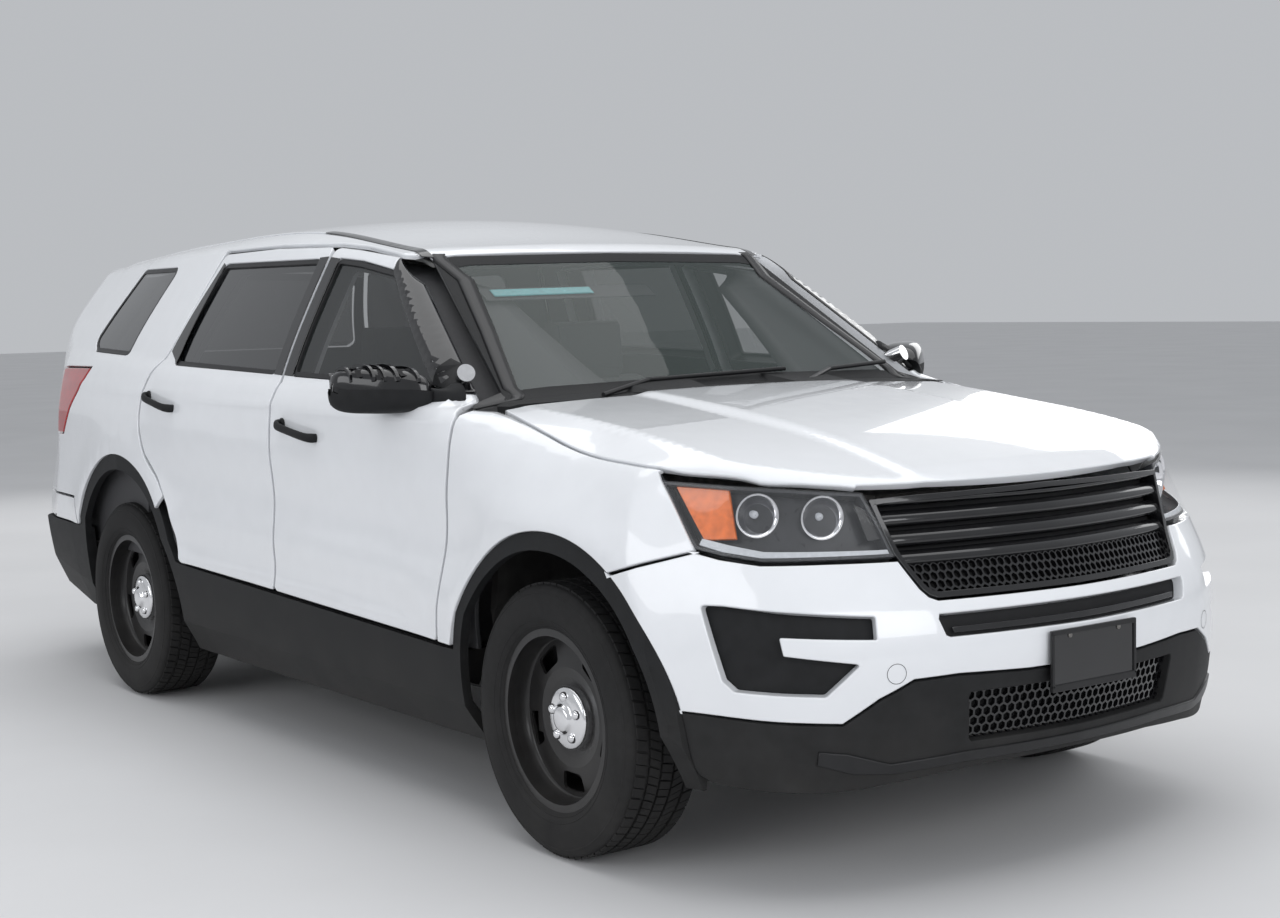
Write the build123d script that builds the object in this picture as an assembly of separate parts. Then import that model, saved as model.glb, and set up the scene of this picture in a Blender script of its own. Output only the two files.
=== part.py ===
from build123d import *

import math
import os

# Patrol utility car: a five-door body with hinged doors, hood and tailgate, on four turning wheels.
# Millimetres. +Z is up, the car faces -Y and its left side is +X. The origin is on the ground, at
# the centre of the car's box. Right-hand pieces are drawn and mirrored.

# Driving sizes of the whole car
wheelbase = 2860.0
front_overhang = 965.0
rear_overhang = 1212.0
plate_proud = 25.0
half_width = 996.0
roof_height = 1735.0
track = 1702.0

front_axle_y = front_overhang + plate_proud - (front_overhang + wheelbase + rear_overhang + plate_proud) / 2
rear_axle_y = front_axle_y + wheelbase
nose_y = front_axle_y - front_overhang
tail_y = rear_axle_y + rear_overhang
wheel_x = track / 2

# Thicknesses of the body's walls, measured in from its surface
skin = 14.0
front_wall = 32.0
door_wall = 60.0
body_wall = 100.0
door_seal = 0.3
glass_sunk = 16.0
glass_thick = 5.0

# Gaps between panels
door_gap = 7.0
post_gap = 18.0
panel_gap = 4.0
moving_gap = 7.0
gate_gap = 10.0
seat_gap = 0.3
stop_width = 30.0
door_setback = 22.0
door_inner = 672.0
overrun = 200.0
side_reach = 1100.0
plan_flare = 260.0
pillar_flare = 200.0
cabin_root = 220.0
pillar_wide = 60.0

# Wheels and tyres
tyre_radius = 363.0
tyre_half_width = 122.5
rim_radius = 228.6
rim_flange = 14.0
rim_half_width = 104.0
bead_gap = 0.3
axle_z = tyre_radius

# Wheel arches
front_opening_shift = 8.0
front_trim_shift = 22.0
front_opening_radius = 448.0
front_trim_radius = 497.0
rear_opening_radius = 490.0
rear_trim_radius = 546.0
front_well_inner = 505.0
rear_well_inner = 690.0
arch_trim_thick = 26.0
arch_trim_proud = 6.0
liner_thick = 6.0


# Wheels: tyre shoulders, rim and hub
rim_lip = 6.0
rim_thick = 8.0
shoulder_drop = 16.0
shoulder_run = 10.0
side_height = 66.0
hub_face = 34.0
dish_face = 46.0
dish_ridge = 132.0
dish_thick = 9.0
rim_seat = 40.0
cap_radius = 82.0
cap_rise = 8.0
lug_count = 5
lug_circle = 57.15
lug_radius = 12.0
window_count = 5
window_low = 146.0
window_high = 196.0
window_wide = 78.0
window_flare = 12.0
window_round = 12.0
disc_radius = 172.0
disc_outer = 8.0
disc_inner = 22.0

# Front knuckles: pivot points, hub carrier, strut and caliper
pivot_low_x = 790.0
pivot_low_z = 215.0
pivot_top_x = 615.0
pivot_top_z = 860.0
carrier_radius = 52.0
carrier_run = 60.0
upright_half = 42.0
upright_thick = 30.0
upright_rise = 110.0
disc_gap = 6.0
ball_radius = 20.0
ball_run = 14.0
strut_radius = 26.0
strut_start = 130.0
spring_radius = 60.0
spring_run = 130.0
clamp_height = 60.0
caliper_deep = 62.0
caliper_wall = 12.0
caliper_half = 70.0

# Floor: its two levels and where it rises
floor_low_height = 345.0
floor_high = 490.0
firewall_high = 1080.0
firewall_foot = 440.0
firewall_slope = 15.0
toe_run = 225.0
toe_foot = 105.0
kick_y = front_axle_y + 2231.0
kick_run = 90.0
floor_end = tail_y - 230.0

# Chassis
tray_half = 420.0
tray_y = front_axle_y - 640.0
tray_back = 260.0
rail_gap = 15.0
rail_wide = 60.0
rail_low = 480.0
rail_high = 590.0
beam_y = front_axle_y - 780.0
beam_thick = 40.0
tower_half = 75.0
tower_thick = 14.0
tower_rise = 45.0
post_half = 60.0
arm_root_x = 430.0
arm_spread = 130.0
arm_thick = 18.0
cradle_rise = 60.0
rack_radius = 24.0
overlap_run = 10.0
rear_frame_x = 330.0
rear_spring_x = 560.0

# Engine block, radiator, exhaust and tank
engine_half = 330.0
engine_front = front_axle_y - 560.0
engine_back = front_axle_y + 340.0
engine_low = pivot_low_z + cradle_rise + seat_gap
engine_high = 940.0
radiator_half = 320.0
radiator_thick = 60.0
radiator_high = 820.0
radiator_low = 330.0
pipe_radius = 28.0
pipe_end_share = 1.6361
muffler_share = 1.5619
muffler_half = 520.0
muffler_long = 170.0
muffler_high = 110.0
tank_inner = 90.0
tank_outer = 560.0
tank_front_share = 0.8185
tank_back_share = 0.9164
tip_x = 470.0
tip_radius = 36.0
tip_gap = 8.0
tip_short = 40.0

# Cabin fittings
driver_x = 375.0
column_share = 0.343
column_z = 1010.0
column_angle = 24.0
column_radius = 34.0
column_run = 300.0
steering_radius = 182.0
steering_tube = 15.0
spoke_wide = 56.0
seat_round = 30.0
front_seat_wide = 500.0
headrest_wide = 270.0
rear_seat_wide = 1240.0

# Door furniture
handle_proud = 26.0
handle_deep = 60.0
handle_high = 26.0
mirror_reach = 1145.0
mirror_inner = 24.0
mirror_round = 22.0
mirror_sink = 90.0
mirror_arm_high = 34.0

# Number plate, fin, wipers and spot lamp bases
plate_half = 154.0
plate_high = 152.0
plate_hole = 3.5
plate_spacing = 177.8
plate_margin = 16.0
fin_thick = 22.0
spot_radius = 26.0
spot_run = 34.0
wiper_radius = 7.0

# Shares of the driving sizes: stations along the car (-1 to 0 is the front overhang, 0 to 1 the
# wheelbase, 1 to 2 the rear overhang), shares of the half width, and shares of the roof height.

# Lower body cross-sections, side points given as (width share, height share):
# station, floor, sill, flank, waist, crease, belt, deck, deck height at the centre
lower_section_shares = [
    (-1.056, (0.82, 0.1729), (0.9, 0.2478), (0.93, 0.3458), (0.925, 0.415), (0.905, 0.4726), (0.85, 0.5274), (0.7, 0.5291), 0.536),
    (-0.4756, (0.86, 0.151), (0.945, 0.2305), (0.968, 0.3458), (0.962, 0.438), (0.948, 0.5014), (0.893, 0.5833), (0.77, 0.6133), 0.6236),
    (0.0, (0.88, 0.136), (0.958, 0.2133), (0.996, 0.3573), (0.992, 0.4496), (0.975, 0.5187), (0.893, 0.6098), (0.775, 0.6501), 0.6622),
    (0.1545, (0.89, 0.1337), (0.955, 0.1931), (0.992, 0.3458), (0.976, 0.4553), (0.984, 0.5533), (0.957, 0.6571), (0.79, 0.6744), 0.687),
    (0.5388, (0.89, 0.1337), (0.955, 0.1931), (0.998, 0.3516), (0.98, 0.4784), (0.99, 0.5821), (0.95, 0.6916), (0.78, 0.7003), 0.7043),
    (1.0, (0.89, 0.136), (0.955, 0.1988), (1.0, 0.3689), (0.99, 0.4957), (0.988, 0.6225), (0.925, 0.7308), (0.78, 0.7406), 0.7435),
    (1.5619, (0.85, 0.147), (0.905, 0.219), (0.95, 0.3689), (0.948, 0.4957), (0.944, 0.6282), (0.874, 0.7406), (0.74, 0.747), 0.7493),
    (2.0239, (0.78, 0.1787), (0.84, 0.2478), (0.905, 0.3689), (0.895, 0.4957), (0.875, 0.6282), (0.81, 0.7406), (0.7, 0.747), 0.7493),
]

# Cabin cross-sections: station, waist, rail, gutter, cant, crown height
cabin_section_shares = [
    (0.0843, (0.921, 0.6225), (0.785, 0.8588), (0.748, 0.8818), (0.655, 0.9003), 0.9095),
    (0.385, (0.944, 0.6628), (0.766, 0.8905), (0.73, 0.9164), (0.64, 0.9291), 0.9395),
    (0.6262, (0.949, 0.6888), (0.764, 0.921), (0.733, 0.951), (0.64, 0.9764), 1.0),
    (0.9584, (0.926, 0.7205), (0.75, 0.9233), (0.716, 0.951), (0.62, 0.9729), 0.9925),
    (1.9414, (0.832, 0.7401), (0.656, 0.8957), (0.622, 0.9182), (0.528, 0.9331), 0.9464),
]

# Outlines of the lower body seen from above: height, nose centre, then (width, station) of the brow,
# the cheek, the flank's ends, the ham and the haunch, and the tail centre
lower_outline_shares = [
    (0.1153, -0.9316, (0.56, -0.8383), (0.79, -0.6984), (0.935, -0.4756), (0.905, 1.6939), (0.835, 1.8672), (0.62, 1.9373), 1.9579),
    (0.2478, -0.9938, (0.56, -0.8984), (0.795, -0.7472), (0.945, -0.5067), (0.935, 1.6939), (0.85, 1.9084), (0.62, 1.981), 2.0),
    (0.3977, -1.0, (0.56, -0.8943), (0.795, -0.7347), (0.95, -0.4756), (0.94, 1.6939), (0.85, 1.9043), (0.62, 1.9794), 2.0),
    (0.4784, -0.9161, (0.545, -0.8228), (0.775, -0.6777), (0.94, -0.4342), (0.93, 1.6691), (0.84, 1.8672), (0.62, 1.9455), 1.9703),
    (0.5677, -0.8746, (0.54, -0.7617), (0.76, -0.6052), (0.925, -0.3513), (0.925, 1.6526), (0.83, 1.8507), (0.61, 1.9332), 1.9596),
    (0.7608, -0.7554, (0.53, -0.6518), (0.74, -0.4964), (0.9, -0.2684), (0.882, 1.6361), (0.795, 1.8177), (0.605, 1.896), 1.9249),
]

# Outlines of the cabin seen from above: height, windscreen centre, windscreen corner, flank rear,
# ham, haunch, tail centre
cabin_outline_shares = [
    (0.5764, 0.0486, (0.843, 0.0748), (0.882, 1.6361), (0.795, 1.8177), (0.605, 1.896), 1.9249),
    (0.7378, 0.1965, (0.744, 0.2199), (0.882, 1.6361), (0.795, 1.8177), (0.605, 1.896), 1.9249),
    (1.0375, 0.471, (0.56, 0.4895), (0.74, 1.4381), (0.655, 1.6031), (0.52, 1.6691), 1.6939),
]

# Side outlines of the doors and their windows: (station share, height share)
front_door_shares = [
    (0.1888, 0.2899), (0.543, 0.3084), (0.5451, 0.5354), (0.5479, 0.6455), (0.543, 0.6957),
    (0.5416, 0.9452), (0.4934, 0.9383), (0.3955, 0.9199), (0.343, 0.8703), (0.1822, 0.6893),
    (0.1559, 0.6594), (0.1605, 0.5994), (0.1696, 0.4911), (0.185, 0.3458),
]
front_window_shares = [
    (0.2259, 0.7043), (0.522, 0.7147), (0.5206, 0.9153), (0.4689, 0.9072), (0.3885, 0.8876),
]
rear_door_shares = [
    (0.5462, 0.3089), (0.7958, 0.3216), (0.808, 0.3746), (0.829, 0.4311), (0.8622, 0.4899),
    (0.9007, 0.536), (0.9157, 0.5821), (0.9171, 0.6455), (0.9024, 0.7003), (0.8727, 0.7493),
    (0.8308, 0.9452), (0.6787, 0.9499), (0.5465, 0.9458), (0.5472, 0.6957), (0.551, 0.6455), (0.5483, 0.5354),
]
rear_window_shares = [
    (0.5675, 0.7164), (0.8402, 0.7274), (0.8552, 0.7435), (0.815, 0.9176), (0.5668, 0.9164),
]
quarter_window_shares = [
    (1.0462, 0.7435), (1.3721, 0.7493), (1.4051, 0.7666), (1.2649, 0.9164), (0.9409, 0.9164),
]

# Outlines seen from above: hood, as (width share, station share)
hood_shares = [
    (0.0, -1.201), (0.548, -1.201), (0.548, -0.7472), (0.69, -0.6415), (0.792, -0.4964), (0.832, -0.3513),
    (0.836, 0.0143), (0.815, 0.135), (0.56, 0.1175), (0.0, 0.1059),
]
hood_floor_share = 0.5614

# Front outlines, as (width share, height share)
windscreen_shares = [
    (0.0, 0.6905), (0.64, 0.6824), (0.772, 0.6778), (0.636, 0.9107), (0.56, 0.917), (0.0, 0.921),
]
tailgate_shares = [
    (0.0, 0.4121), (0.56, 0.4121), (0.64, 0.438), (0.655, 0.5764), (0.648, 0.7435), (0.566, 0.9366),
    (0.54, 1.0375), (0.0, 1.0375),
]
tailgate_window_shares = [
    (0.0, 0.7274), (0.56, 0.7274), (0.588, 0.7435), (0.53, 0.8991), (0.5, 0.9153), (0.0, 0.9222),
]
tailgate_front_share = 1.5866

# Side outlines of the front and rear panels
fender_shares = [(0.1864, 0.2899), (0.1825, 0.3458), (0.1671, 0.4911), (0.158, 0.5994), (0.1535, 0.6594),
    (0.1385, 0.6715), (0.1385, 0.7493), (-0.3762, 0.7493), (-0.3762, 0.596), (-0.372, 0.4968),
    (-0.3047, 0.4484), (-0.2477, 0.4035), (-0.2477, 0.2899)]
lamp_shares = [(-1.3047, 0.487), (-0.6622, 0.4755), (-0.5378, 0.4738), (-0.3824, 0.4968), (-0.3865, 0.5533),
    (-0.3845, 0.596), (-0.2684, 0.6916), (-1.3047, 0.6916)]
grille_shares = [(0.0, 0.4196), (0.432, 0.4196), (0.462, 0.4311), (0.5, 0.4807), (0.532, 0.5556), (0.0, 0.5556)]
grille_back_share = -0.7295
grille_half_share = 0.44
grille_rim = 20.0
bar_count = 3
bar_height = 26.0
bumper_shares = [(-1.3047, 0.2911), (-0.7865, 0.2928), (-0.5793, 0.2709), (-0.2518, 0.2709), (-0.2518, 0.4035),
    (-0.3088, 0.4484), (-0.3762, 0.4968), (-0.3803, 0.5602), (-1.3047, 0.5602)]
valance_shares = [(-1.3047, 0.2899), (-0.7886, 0.2916), (-0.5813, 0.2697), (-0.4031, 0.2697), (-0.4031, 0.1153),
    (-1.3047, 0.1153)]
slot_shares = [(0.0, 0.3671), (0.432, 0.3671), (0.444, 0.3983), (0.0, 0.3994)]
fog_shares = [(0.52, 0.3043), (0.56, 0.2997), (0.7, 0.3228), (0.79, 0.3689), (0.73, 0.3873), (0.56, 0.3689)]
rear_bumper_shares = [(1.3639, 0.3458), (1.4381, 0.4081), (2.2219, 0.4081), (2.2219, 0.3458)]
rear_valance_shares = [(1.3639, 0.3447), (2.2219, 0.3447), (2.2219, 0.1153), (1.3144, 0.1153), (1.3144, 0.2478)]
sill_shares = [(0.1402, 0.1153), (0.1402, 0.2836), (0.1871, 0.2836), (0.808, 0.317), (0.829, 0.3228), (0.829, 0.1153)]
cowl_shares = [(0.0, 0.1087), (0.56, 0.1203), (0.815, 0.1378), (0.835, 0.15), (0.69, 0.1944), (0.0, 0.1857)]
cowl_front_share = 0.0493
roof_crown_share = 0.5388
roof_front_share = 0.322
roof_half_share = 0.647
roof_floor_share = 0.8357
post_front_share = 0.1262
tail_lamp_shares = [(1.3144, 0.7066), (1.4711, 0.6156), (1.5536, 0.5533), (2.1394, 0.5418), (2.1394, 0.6859), (1.5784, 0.7043)]

# Cabin fittings and small parts, as (station share, height share)
dash_shares = [(0.1444, 0.438), (0.1444, 0.6225), (0.1682, 0.634), (0.2381, 0.6317), (0.2801, 0.5821),
    (0.2696, 0.5187), (0.2241, 0.438)]
front_seat_shares = [(0.392, 0.199), (0.385, 0.3228), (0.392, 0.3631), (0.5528, 0.3516), (0.5913, 0.6628), (0.6192, 0.6744),
    (0.6402, 0.6571), (0.6017, 0.3228), (0.5808, 0.199)]
headrest_shares = [(0.6052, 0.6628), (0.5913, 0.6916), (0.5983, 0.7896), (0.6332, 0.7896), (0.6332, 0.6628)]
rear_seat_shares = [(0.7521, 0.2017), (0.7486, 0.3458), (0.7626, 0.3746), (0.9024, 0.3746), (0.9374, 0.6686), (0.9794, 0.6801),
    (0.9724, 0.2826), (0.8535, 0.2826), (0.808, 0.2997), (0.7696, 0.2029)]
front_handle_shares = [(0.4255, 0.6104), (0.5178, 0.6127)]
rear_handle_shares = [(0.8059, 0.6427), (0.8937, 0.645)]
mirror_shares = [(0.2346, 0.6686), (0.2801, 0.7435)]
plate_share = 0.317
fin_shares = [(1.2318, 0.9683), (1.2814, 0.9925), (1.3391, 1.0098), (1.3762, 1.0127), (1.3969, 0.9683)]
spot_x = 0.842
spot_share = 0.2066
spot_height = 0.7147
wiper_shares = [
    ((-0.52, 0.1262, 0.6801), (-0.3, 0.1549, 0.6986), (0.24, 0.1598, 0.7055)),
    ((0.23, 0.1227, 0.6824), (0.43, 0.1612, 0.7014), (0.72, 0.1801, 0.7072)),
]

# Floor
floor_thick = 30.0
sill_inner = 850.0
sill_top = 470.0


def along(share):
    """The place along the car of a station share."""
    if share < 0:
        return front_axle_y + share * front_overhang
    if share <= 1:
        return front_axle_y + share * wheelbase
    return rear_axle_y + (share - 1) * rear_overhang


def side_points(shares):
    """Points (y, z) from shares."""
    return [(along(s), h * roof_height) for s, h in shares]


def front_points(shares):
    """Points (x, z) from shares."""
    return [(w * half_width, h * roof_height) for w, h in shares]


def plan_points(shares):
    """Points (x, y) from shares."""
    return [(w * half_width, along(s)) for w, s in shares]


def box_between(low, high):
    """A box from its low corner to its high corner."""
    size = [b - a for a, b in zip(low, high)]
    centre = [(a + b) / 2 for a, b in zip(low, high)]
    return Pos(*centre) * Box(*size)


def mirrored(shape):
    """The same shape on the other side of the car."""
    return mirror(shape, about=Plane.YZ)


def joined(shapes):
    """One compound of separate solids."""
    return Compound(children=[solid for shape in shapes for solid in shape.solids()])


def largest(shape):
    """The largest solid of a shape."""
    return max(shape.solids(), key=lambda solid: solid.volume)


def both(*shapes):
    """Right-hand shapes with their left-hand twins."""
    return joined([*shapes, *[mirrored(shape) for shape in shapes]])


def side_prism(points, x_from=-side_reach, x_to=-half_width / 2, grow=0.0):
    """A prism across the car from an outline of (y, z) points seen from the side."""
    outline = make_face(Polyline([(y, z) for y, z in points], close=True))
    if grow:
        outline = offset(outline, amount=grow, kind=Kind.INTERSECTION)
    plane = Plane(origin=(x_from, 0, 0), x_dir=(0, 1, 0), z_dir=(1, 0, 0))
    return extrude(plane * outline, amount=x_to - x_from)


def front_prism(points, y_from, y_to, grow=0.0):
    """A prism along the car, the same on both sides, from (x, z) points seen from the front."""
    full = [*points, *[(-x, z) for x, z in reversed(points) if x > 0]]
    outline = make_face(Polyline([(x, z) for x, z in full], close=True))
    if grow:
        outline = offset(outline, amount=grow, kind=Kind.INTERSECTION)
    plane = Plane(origin=(0, y_to, 0), x_dir=(1, 0, 0), z_dir=(0, -1, 0))
    return extrude(plane * outline, amount=y_to - y_from)


def plan_prism(points, z_from, z_to, grow=0.0):
    """An upright prism, the same on both sides, from (x, y) points seen from above."""
    full = [*points, *[(-x, y) for x, y in reversed(points) if x > 0]]
    outline = make_face(Polyline([(x, y) for x, y in full], close=True))
    if grow:
        outline = offset(outline, amount=grow, kind=Kind.INTERSECTION)
    return Pos(0, 0, z_from) * extrude(outline, amount=z_to - z_from)


def across(y, z, radius, x_from, x_to):
    """A round bar across the car."""
    return Pos((x_from + x_to) / 2, y, z) * Cylinder(radius, x_to - x_from, rotation=(0, 90, 0))


def half_arc(end, crown):
    """The half of a symmetric arc that runs from its right-hand end to its middle."""
    run, rise = abs(end[0]), [c - e for c, e in zip(crown, end)]
    lift = math.hypot(rise[1], rise[2])
    radius = (run**2 + lift**2) / (2 * lift)
    drop = (radius - math.sqrt(radius**2 - (run / 2) ** 2)) / lift
    middle = [c - r * drop for c, r in zip(crown, rise)]
    return ThreePointArc(end, (end[0] / 2, middle[1], middle[2]), crown)


def closed_section(side, crown):
    """The right-hand half of a cross-section, from its side points and the top of its crown."""
    y = crown[1]
    points = [(-x, y, z) for x, z in side]
    middle = (0, y, side[0][1])
    return make_face([half_arc(points[-1], crown), Polyline(crown, middle, *points)])


def lower_section(row, inset):
    """One cross-section of the lower body."""
    station, *points, top = row
    widths = [w * half_width - inset for w, _ in points]
    lifts = (inset, inset / 2, 0, 0, -inset / 4, -inset, -inset)
    heights = [h * roof_height + lift for (_, h), lift in zip(points, lifts)]
    return closed_section(list(zip(widths, heights)), (0, along(station), top * roof_height - inset))


def cabin_section(row, inset):
    """One cross-section of the cabin."""
    station, *points, top = row
    tucks = (inset, inset, inset, inset / 2)
    lifts = (0, -inset / 2, -inset, -inset)
    widths = [w * half_width - tuck for (w, _), tuck in zip(points, tucks)]
    heights = [h * roof_height + lift for (_, h), lift in zip(points, lifts)]
    side = [(widths[0], heights[0] - cabin_root), *zip(widths, heights)]
    return closed_section(side, (0, along(station), top * roof_height - inset))


def lower_outline(row, inset):
    """One outline of the lower body seen from above."""
    height, nose, *points, tail = row
    z = height * roof_height
    backs = (1, 0.8, 0.2, -0.2, -0.8, -1)
    brow, cheek, front, rear, ham, haunch = [
        (inset * 0.7 - w * half_width, along(s) + inset * back, z) for (w, s), back in zip(points, backs)
    ]
    nose_point, tail_point = (0, along(nose) + inset, z), (0, along(tail) - inset, z)
    wide_front, wide_rear = (-side_reach, front[1] + plan_flare, z), (-side_reach, rear[1] - plan_flare, z)
    return make_face([
        half_arc(brow, nose_point),
        ThreePointArc(brow, cheek, front),
        Polyline(front, wide_front, wide_rear, rear),
        ThreePointArc(rear, ham, haunch),
        half_arc(haunch, tail_point),
        Line(tail_point, nose_point),
    ])


def cabin_outline(row, inset):
    """One outline of the cabin seen from above, with the windscreen in front."""
    height, screen, *points, tail = row
    z = height * roof_height
    backs = (1.8, -0.3, -0.8, -1)
    corner, rear, ham, haunch = [
        (inset * 0.7 - w * half_width, along(s) + inset * back, z) for (w, s), back in zip(points, backs)
    ]
    corner = (corner[0] - inset * 0.7, corner[1], z)
    screen_point, tail_point = (0, along(screen) + inset * 1.8, z), (0, along(tail) - inset, z)
    wide_front, wide_rear = (-side_reach, corner[1] + pillar_flare, z), (-side_reach, rear[1] - plan_flare, z)
    return make_face([
        half_arc(corner, screen_point),
        Polyline(corner, wide_front, wide_rear, rear),
        ThreePointArc(rear, ham, haunch),
        half_arc(haunch, tail_point),
        Line(tail_point, screen_point),
    ])


def lower_body(inset):
    """The lower body, moved in from the surface by inset."""
    hull = loft([lower_section(row, inset) for row in lower_section_shares], ruled=True)
    return hull & loft([lower_outline(row, inset) for row in lower_outline_shares], ruled=True)


def cabin(inset):
    """The cabin, moved in from the surface by inset."""
    hull = loft([cabin_section(row, inset) for row in cabin_section_shares], ruled=True)
    return hull & loft([cabin_outline(row, inset) for row in cabin_outline_shares], ruled=True)




def half(inset):
    """The right-hand half of the body form, moved in from the surface by inset."""
    return lower_body(inset) + cabin(inset)


def front_prism_right(points, y_from, y_to, grow=0.0):
    """A prism along the car on its right-hand side only."""
    outline = make_face(Polyline([(-x, z) for x, z in points], close=True))
    if grow:
        outline = offset(outline, amount=grow, kind=Kind.INTERSECTION)
    plane = Plane(origin=(0, y_to, 0), x_dir=(1, 0, 0), z_dir=(0, -1, 0))
    return extrude(plane * outline, amount=y_to - y_from)


surface = half(0)
under_skin = half(skin)
under_front = half(front_wall)
under_door = half(door_wall)
under_seal = half(door_wall + door_seal)
under_body = half(body_wall)
glass_outer = half(glass_sunk)
glass_inner = half(glass_sunk + glass_thick)
screen_outer = half(panel_gap)
screen_inner = half(panel_gap + glass_thick)
trim_outer = half(-arch_trim_proud)
trim_inner = half(arch_trim_thick - arch_trim_proud)

body_shell = surface - under_body
front_shell = surface - under_front
glass_shell = glass_outer - glass_inner
screen_shell = screen_outer - screen_inner
trim_shell = trim_outer - trim_inner
flange_shell = surface - under_skin
core_shell = under_skin - under_door

# Wheel wells, open from the inner wall outwards
front_well_y = front_axle_y - front_opening_shift
front_wells = across(front_well_y, axle_z, front_opening_radius, -side_reach, -front_well_inner)
rear_wells = across(rear_axle_y, axle_z, rear_opening_radius, -side_reach, -rear_well_inner)
wells = [front_wells, rear_wells]

# Regions that separate the panels
front_door_points = side_points(front_door_shares)
rear_door_points = side_points(rear_door_shares)
hood_points = plan_points(hood_shares)
hood_floor = hood_floor_share * roof_height
hood_top = roof_height
lamp_region = side_prism(side_points(lamp_shares), x_to=-grille_half_share * half_width)
lamp_cut = side_prism(side_points(lamp_shares), x_to=-grille_half_share * half_width, grow=panel_gap)
hood_region = plan_prism(hood_points, hood_floor, hood_top)
hood_cut = plan_prism(hood_points, hood_floor - moving_gap, hood_top, grow=moving_gap)
grille_points = front_points(grille_shares)
grille_back = along(grille_back_share)
grille_region = front_prism(grille_points, nose_y - overrun, grille_back)
grille_cut = front_prism(grille_points, nose_y - overrun, grille_back, grow=panel_gap)
slot_points = front_points(slot_shares)
slot_region = front_prism(slot_points, nose_y - overrun, grille_back)
fog_points = front_points(fog_shares)
fog_region = front_prism_right(fog_points, nose_y - overrun, grille_back)
bumper_region = side_prism(side_points(bumper_shares), x_to=0)
valance_region = side_prism(side_points(valance_shares), x_to=0)
valance_cut = side_prism(side_points(valance_shares), x_to=0, grow=seat_gap)
screen_points = front_points(windscreen_shares)
screen_front = along(cowl_front_share)
screen_back = along(roof_crown_share)
screen_region = front_prism(screen_points, screen_front, screen_back)
screen_cut = front_prism(screen_points, screen_front, screen_back, grow=seat_gap)
pillar_region = front_prism(screen_points, screen_front, screen_back, grow=pillar_wide)
pillar_post = front_prism(screen_points, screen_front, screen_back, grow=pillar_wide - post_gap)
roof_front = along(roof_front_share)
gate_front = along(tailgate_front_share)
roof_half = roof_half_share * half_width
roof_floor = roof_floor_share * roof_height
roof_region = box_between((-roof_half, roof_front, roof_floor), (0, gate_front - gate_gap, roof_height + overrun))
gate_points = front_points(tailgate_shares)
gate_end = tail_y + overrun
gate_region = front_prism(gate_points, gate_front, gate_end)
gate_cut = front_prism(gate_points, gate_front - gate_gap, gate_end, grow=gate_gap)
gate_core = front_prism(gate_points, gate_front + door_setback, gate_end, grow=-door_setback)
gate_way = front_prism(gate_points, gate_front - gate_gap, gate_end, grow=-stop_width)
gate_opening = (gate_cut - under_seal) + gate_way
rear_bumper_points = side_points(rear_bumper_shares)
rear_bumper_region = side_prism(rear_bumper_points, x_to=0)
rear_bumper_cut = side_prism(rear_bumper_points, x_to=0, grow=seat_gap)
tail_lamp_points = side_points(tail_lamp_shares)
tail_lamp_region = side_prism(tail_lamp_points)
tail_lamp_cut = side_prism(tail_lamp_points, grow=seat_gap)
quarter_points = side_points(quarter_window_shares)
sill_points = side_points(sill_shares)
sill_region = side_prism(sill_points, x_to=-sill_inner)
sill_cut = side_prism(sill_points, x_to=-sill_inner, grow=seat_gap)
rear_valance_region = side_prism(side_points(rear_valance_shares), x_to=0)
rear_valance_cut = side_prism(side_points(rear_valance_shares), x_to=0, grow=seat_gap)
fender_points = side_points(fender_shares)
fender_region = side_prism(fender_points)
cowl_points = plan_points(cowl_shares)
cowl_region = plan_prism(cowl_points, hood_floor, roof_height)
post_front = along(post_front_share)
front_ring = across(front_axle_y - front_trim_shift, axle_z, front_trim_radius, -side_reach, -sill_inner)
rear_ring = across(rear_axle_y, axle_z, rear_trim_radius, -side_reach, -sill_inner)


def door_pieces(points, window_shares):
    """A door with a flange that covers its jamb, and its glass."""
    window = side_points(window_shares)
    flange = flange_shell & side_prism(points, x_to=-door_inner)
    core = core_shell & side_prism(points, x_to=-door_inner, grow=-door_setback)
    panel = flange + core - side_prism(window) - pillar_region
    glass = glass_shell & side_prism(window, grow=-seat_gap)
    return panel, glass


def door_opening(points):
    """What a door takes out of the body side: its own room, and the way in through the stop."""
    room = side_prism(points, x_to=seat_gap - door_inner, grow=door_gap) - under_seal
    return room + side_prism(points, x_to=-door_inner, grow=-stop_width) - pillar_post


front_door, front_glass = door_pieces(front_door_points, front_window_shares)
rear_door, rear_glass = door_pieces(rear_door_points, rear_window_shares)
front_door -= front_ring
rear_door -= rear_ring

# Body side with its pillars, roof rail and quarter
under_floor = box_between((-sill_inner, nose_y - overrun, 0), (0, tail_y + overrun, sill_top))
ahead = box_between((-side_reach, nose_y - overrun, 0), (0, post_front, roof_height))
body_side = body_shell - door_opening(front_door_points) - door_opening(rear_door_points)
body_side = body_side - ahead - (fender_region - under_front) - under_floor
body_side = body_side - front_wells - rear_wells - roof_region - screen_cut - gate_opening
body_side = body_side - rear_bumper_cut - (tail_lamp_cut - under_door) - side_prism(quarter_points)
body_side = body_side - (sill_cut - trim_inner) - (cowl_region - under_front) - rear_valance_cut
body_side = largest(body_side - ((front_ring + rear_ring) - trim_inner))
quarter_glass = glass_shell & side_prism(quarter_points, grow=-seat_gap)

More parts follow.
